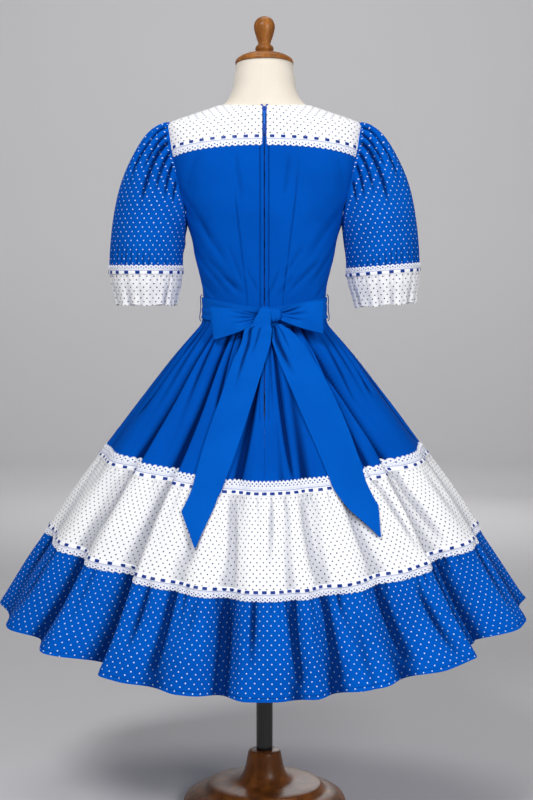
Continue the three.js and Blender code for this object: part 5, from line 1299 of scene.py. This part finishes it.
# %% Linen, wood and steel
def linen_finish():
    f = Finish("linen", roughness=0.9, specular=0.15, sheen=0.1)
    flat = f.vector("MULTIPLY", f.uv(), (1.0, 1.0, 0.0))
    cloudy = f.ramp(f.noise(f.place(), 14.0, 4.0), 0.3, 0.7)
    body = f.blend(cloudy, (0.76, 0.70, 0.61, 1), (0.72, 0.655, 0.56, 1))
    threads = [f.noise(f.vector("MULTIPLY", flat, scale), 1.0, 3.0)
               for scale in ((260.0, 2600.0, 0.0), (2600.0, 260.0, 0.0))]
    slub = f.math("ADD", *threads)
    f.put(f.shader.inputs["Base Color"], f.node("HueSaturation", Color=body, Value=f.ramp(slub, 0.6, 1.4, 0.9, 1.06)))
    f.put(f.shader.inputs["Normal"], f.bump(slub, 0.15, 0.6))
    return f.material


def wood_finish(name, light, dark, scale):
    """Varnished wood: growth rings are noise stretched along the axis, with pores as finer noise."""
    f = Finish(name, roughness=0.42, specular=0.16, coat=0.05)
    f.shader.inputs["Coat Roughness"].default_value = 0.2
    place = f.place()
    bent = f.vector("ADD", place, f.vector("MULTIPLY", f.noise_colour(place, 6.0), (0.035, 0.035, 0.035)))
    grain = f.noise(f.vector("MULTIPLY", bent, (scale, scale, scale * 0.09)), 1.0, 6.0, 0.6)
    pores = f.noise(f.vector("MULTIPLY", place, (900.0, 900.0, 40.0)), 1.0, 2.0)
    body = f.blend(f.ramp(grain, 0.36, 0.64), light, dark)
    f.put(f.shader.inputs["Base Color"],
          f.node("HueSaturation", Color=body, Value=f.ramp(pores, 0.35, 0.65, 0.82, 1.08)))
    f.put(f.shader.inputs["Roughness"], f.ramp(pores, 0.3, 0.7, 0.42, 0.27))
    f.put(f.shader.inputs["Normal"], f.bump(pores, 0.08, 0.5))
    return f.material


def steel_finish():
    f = Finish("painted_steel", roughness=0.35, metallic=0.0, specular=0.5)
    f.shader.inputs["Base Color"].default_value = (0.012, 0.011, 0.010, 1)
    spots = f.noise(f.place(), 180.0, 4.0)
    f.put(f.shader.inputs["Roughness"], f.ramp(spots, 0.3, 0.7, 0.28, 0.42))
    f.put(f.shader.inputs["Normal"], f.bump(f.noise(f.place(), 700.0), 0.03))
    return f.material


def zip_finish(name, colour, roughness, metallic, specular=0.4):
    f = Finish(name, roughness=roughness, metallic=metallic, specular=specular)
    body = f.blend(f.noise(f.place(), 300.0), colour, tuple(0.8 * c for c in colour[:3]) + (1,))
    f.put(f.shader.inputs["Base Color"], body)
    f.put(f.shader.inputs["Normal"], f.bump(f.noise(f.place(), 1500.0), 0.03))
    return f.material


LINEN, STEEL = linen_finish(), steel_finish()
CAP_WOOD = wood_finish("light_varnished_wood", (0.36, 0.135, 0.03, 1), (0.22, 0.078, 0.017, 1), 60.0)
BASE_WOOD = wood_finish("dark_varnished_wood", (0.27, 0.088, 0.018, 1), (0.12, 0.038, 0.009, 1), 34.0)
ZIP_TAPE = zip_finish("zip_tape_weave", (0.001, 0.055, 0.36, 1), 0.8, 0.0)
ZIP_METAL = zip_finish("zip_lacquer", (0.01, 0.16, 0.72, 1), 0.3, 0.3)

# %% Torso
TORSO_INSET, SHOULDER_INSET, NECK_TOP, CAP_TILT = 3.3, 4.0, 1522, 6.0
z = np.concatenate([np.linspace(755, 1380, 70), np.linspace(1380, 1460, 36)[1:],
                    np.linspace(1460, NECK_TOP, 16)[1:]])[:, None]
azimuth = np.linspace(0, 360, 128, endpoint=False)[None, :]
azimuth, z = np.broadcast_arrays(azimuth, z)
covered = ease01((z - 1000) / 40) * (1 - ease01((z - 1400) / 26))
tip = ease01(1 - np.abs(z - 1397) / 26)
seam = 0.5 * np.exp(-(np.abs((azimuth + 180) % 360 - 180) * 1.0 / 0.8) ** 2)
rings = off_figure(azimuth, z, -TORSO_INSET * covered - SHOULDER_INSET * tip - seam)
rings[..., 2] -= rings[..., 1] * math.tan(math.radians(CAP_TILT)) * ease01((z - 1460) / (NECK_TOP - 1460))
uv = np.stack(np.broadcast_arrays(np.linspace(0, 860, 129)[None, :], z[:, :1]), axis=-1)
made = round_body("form_torso", rings, np.array([0, 0, 755.0]), np.array([0, 0, float(NECK_TOP)]), uv)
finish_piece(made, LINEN, instead_of=["form_torso"])

# %% Turned parts
BASE_PROFILE = [(163, 0), (168.5, 4), (168.5, 10), (163, 19), (146, 28), (123, 33), (119.5, 40.5), (117, 46), (72, 48),
                (56, 52), (45, 63), (39, 81), (35, 104), (33, 112), (29, 113.5)]
CAP_PROFILE = [(58.5, .4), (59.5, 4), (57, 9.5), (45, 17), (26, 22), (1, 23)]
FINIAL_PROFILE = [(15, 0), (19.5, 7), (17.5, 13.5), (12, 17), (13.5, 23), (18, 36), (21.8, 50), (21.5, 58), (17.5, 67),
                  (9, 73), (1, 74.5)]


def cut_corners(profile, times=3):
    """Replaces each corner by two points, a quarter of the way along the sides that meet there."""
    p = np.array(profile, float)
    for _ in range(times):
        near, far = mix(p[:-1], p[1:], 0.25), mix(p[:-1], p[1:], 0.75)
        p = np.concatenate([p[:1], np.stack([near, far], axis=1).reshape(-1, 2), p[-1:]])
    return p


def turned(name, profile, lift, tilt, material, slot, sides=64):
    """A profile of radius and height spun round the axis, then leaned to the front by tilt degrees."""
    p = cut_corners(profile)
    turn = np.linspace(0, 2 * np.pi, sides, endpoint=False)[None, :]
    rings = np.stack(np.broadcast_arrays(p[:, :1] * np.cos(turn), p[:, :1] * np.sin(turn), p[:, 1:] + lift), axis=-1)
    lean = math.radians(-tilt)
    turn_x = np.array([[1, 0, 0], [0, math.cos(lean), -math.sin(lean)], [0, math.sin(lean), math.cos(lean)]])
    base = np.array([0, 0, NECK_TOP if tilt else 0.0])
    ends = [np.array([0, 0, p[0, 1] + lift]), np.array([0, 0, p[-1, 1] + lift])]
    made = round_body(name, rings @ turn_x.T + base, *(end @ turn_x.T + base for end in ends), sharp=40)
    return finish_piece(made, material, instead_of=[name])


turned("form_base", BASE_PROFILE, 0, 0, BASE_WOOD, "wood")
turned("form_neck_cap", CAP_PROFILE, 0, CAP_TILT, CAP_WOOD, "wood")
turned("form_finial", FINIAL_PROFILE, CAP_PROFILE[-1][1] + SEAM_GAP, CAP_TILT, CAP_WOOD, "wood")
turned("form_pole", [(16.4, 113.9), (17.2, 115), (17.2, 753.6), (16.4, 754.6)], 0, 0, STEEL, "pole", 64)

# %% Zip
for name, material in (("zip_tape", ZIP_TAPE), ("zip_slider", ZIP_METAL), ("zip_pull_tab", ZIP_METAL)):
    nodes[name].data.materials.clear()
    nodes[name].data.materials.append(material)

# %% [markdown]
# ### Teeth and stitching
# The chain is two rows of small teeth on the tape. Lines of stitches hold the tape beside the opening,
# run on beside the skirt's placket, and hold the hem. A stitch is a small domed patch that sits in the
# cloth, and the same function that sews on the ribbon places it.

# %% Chain and lines of stitches
tape = np.array([v.co for v in nodes["zip_tape"].data.vertices]) / MM
levels = np.unique(np.round(tape[:, 2], 1))
tape_back = np.array([tape[np.abs(tape[:, 2] - z) < 0.06, 1].min() for z in levels])


def on_tape(x):
    """The outside of the zip's tape, x mm from its middle. s runs up the chain."""
    def surface(s, d):
        z = mix(1046.0, 1404.0, s)
        return np.stack(np.broadcast_arrays(x + d, np.interp(z, levels, tape_back), z), axis=-1)
    return surface


def beside_zip(side):
    def surface(s, d):
        z = mix(1052.0, 1364.0, s)
        azimuth = np.degrees(np.arctan((STITCH_LINE + d) / np.abs(bodice_point(0, z)[..., 1])))
        return bodice_surface(side * azimuth, z)
    return surface


def beside_placket(side):
    def surface(s, d):
        level = mix(0.16, PLACKET_END, s)
        radius = np.linalg.norm(skirt_body(0.0, level)[..., :2], axis=-1)
        return skirt_point(side * np.degrees((STITCH_LINE + d) / radius), level)
    return surface


def at_hem(s, d):
    return skirt_point(360 * s - 180, 2.962 - d * 0.0048)


def even(count):
    return (np.arange(count) + 0.5) / count


ZIP_CHAIN = zip_finish("zip_chain", (0.0001, 0.005, 0.04, 1), 0.6, 0.0, 0.1)
THREAD = zip_finish("sewing_thread", (0.0, 0.03, 0.19, 1), 0.8, 0.0, 0.02)
stitch_points, stitch_faces = pillow_shape(2.4, 0.7, 0.8, across=2, down=2)
tooth_points, tooth_faces = pillow_shape(0.9, 2.2, 0.5, across=2, down=3)
for word, side in (("right", 1), ("left", -1)):
    add_along("zip_teeth_" + word, on_tape(side * 1.25), CHEST, even(240), 0.0, 0.1, tooth_points, tooth_faces,
              ZIP_CHAIN)
    add_along("zip_stitches_" + word, beside_zip(side), CHEST, even(100), 0.0, 0.1, stitch_points, stitch_faces,
              THREAD)
    add_along("placket_stitches_" + word, beside_placket(side), INSIDE_SKIRT, even(58), 0.0, 0.1,
              stitch_points, stitch_faces,
              THREAD)
for word, side in (("right", 1), ("left", -1)):
    t, c = np.linspace(0, 1, 10)[:, None], np.linspace(0, 1, 5)[None, :]
    z = np.broadcast_to(mix(1417.0, 1435.0, t), (10, 5))
    x = side * (mix(0.7, 3.4, t**1.4) + 4.2 * c)
    y = np.interp(z, levels, tape_back) - mix(0.6, 1.6, t) - 0.6 * np.sin(np.pi * c)
    grid = np.stack([x, y, z], axis=-1)
    made = cloth("zip_tape_end_" + word, grid, lengths_uv(grid), thickness=0.6, centre=CHEST)
    finish_piece(made, ZIP_TAPE)
add_along("hem_stitches", at_hem, INSIDE_SKIRT, even(1000), 0.0, 0.1, stitch_points, stitch_faces, THREAD)

# %% [markdown]
# ## Backdrop and light
# A round studio cove is one sheet that runs from the floor up the wall in a wide curve, all round, so
# every side of the dress is seen against it. The key light stands high to the left of the camera and a
# weaker one lower to the right. The other lamps hang above the dress, light the wall behind it and
# light its far side.

# %% Stage and lights
FLOOR, CURVE, WALL = 6600.0, 2400.0, 4800.0  # radius of the flat floor, radius of the curve, height of the wall
bend = np.radians(np.linspace(0, 90, 24))
radius = np.concatenate([[200.0], FLOOR + CURVE * np.sin(bend), [FLOOR + CURVE]])
height = np.concatenate([[0.0], CURVE - CURVE * np.cos(bend), [WALL]])
turn = np.radians(np.linspace(0, 360, 96, endpoint=False))
rings = np.stack(np.broadcast_arrays(radius[:, None] * np.cos(turn), radius[:, None] * np.sin(turn),
                                     height[:, None]), axis=-1)
index = np.arange(len(radius) * 96).reshape(-1, 96)
index = np.concatenate([index, index[:, :1]], axis=1)
walls = np.stack([index[:-1, :-1], index[1:, :-1], index[1:, 1:], index[:-1, 1:]], axis=-1).reshape(-1, 4)
middle = np.stack([np.full(96, index[-1, -2] + 1), index[0, :-1], index[0, 1:]], axis=-1)
cove = make_mesh("studio_cove", np.concatenate([rings.reshape(-1, 3), [[0, 0, 0]]]), [walls, middle])
paper = Finish("studio_paper", roughness=0.95, specular=0.05)
rise = paper.node("SeparateXYZ", output=2, Vector=paper.place())
cloudy = paper.blend(paper.noise(paper.place(), 0.6), (0.65, 0.645, 0.655, 1), (0.67, 0.665, 0.675, 1))
paper.put(paper.shader.inputs["Base Color"], paper.blend(paper.ramp(rise, 0.0, 1.6), (0.60, 0.59, 0.605, 1), cloudy))
cove.data.materials.append(paper.material)


def area_light(name, place, aim, size, power, colour=(1, 1, 1)):
    lamp = bpy.data.lights.new(name, "AREA")
    lamp.shape, lamp.size, lamp.energy, lamp.color = "DISK", size, power, colour
    made = bpy.data.objects.new(name, lamp)
    bpy.context.scene.collection.objects.link(made)
    made.location = place
    direction = np.array(aim) - np.array(place)
    made.rotation_euler = (math.atan2(math.hypot(direction[0], direction[1]), -direction[2]),
                           0, math.atan2(direction[1], direction[0]) - math.pi / 2)


area_light("key", (-1.3, -2.7, 3.4), (0, 0, 0.9), 1.2, 98)
area_light("fill", (1.9, -2.9, 1.9), (0, 0, 0.8), 1.5, 68)
area_light("top", (0, 0.8, 4.2), (0, 0.4, 0), 2.6, 32)
area_light("wall", (0, 4.0, 3.7), (0, 9.0, 1.9), 3.0, 122)
area_light("far side", (0.6, 4.6, 2.2), (0, 0, 1.2), 2.0, 32)
world = bpy.data.worlds.new("studio")
bpy.context.scene.world = world
world.use_nodes = True
world.node_tree.nodes["Background"].inputs["Color"].default_value = (0.95, 0.97, 1.0, 1)
world.node_tree.nodes["Background"].inputs["Strength"].default_value = 0.18
bpy.context.scene.view_settings.view_transform = "Standard"
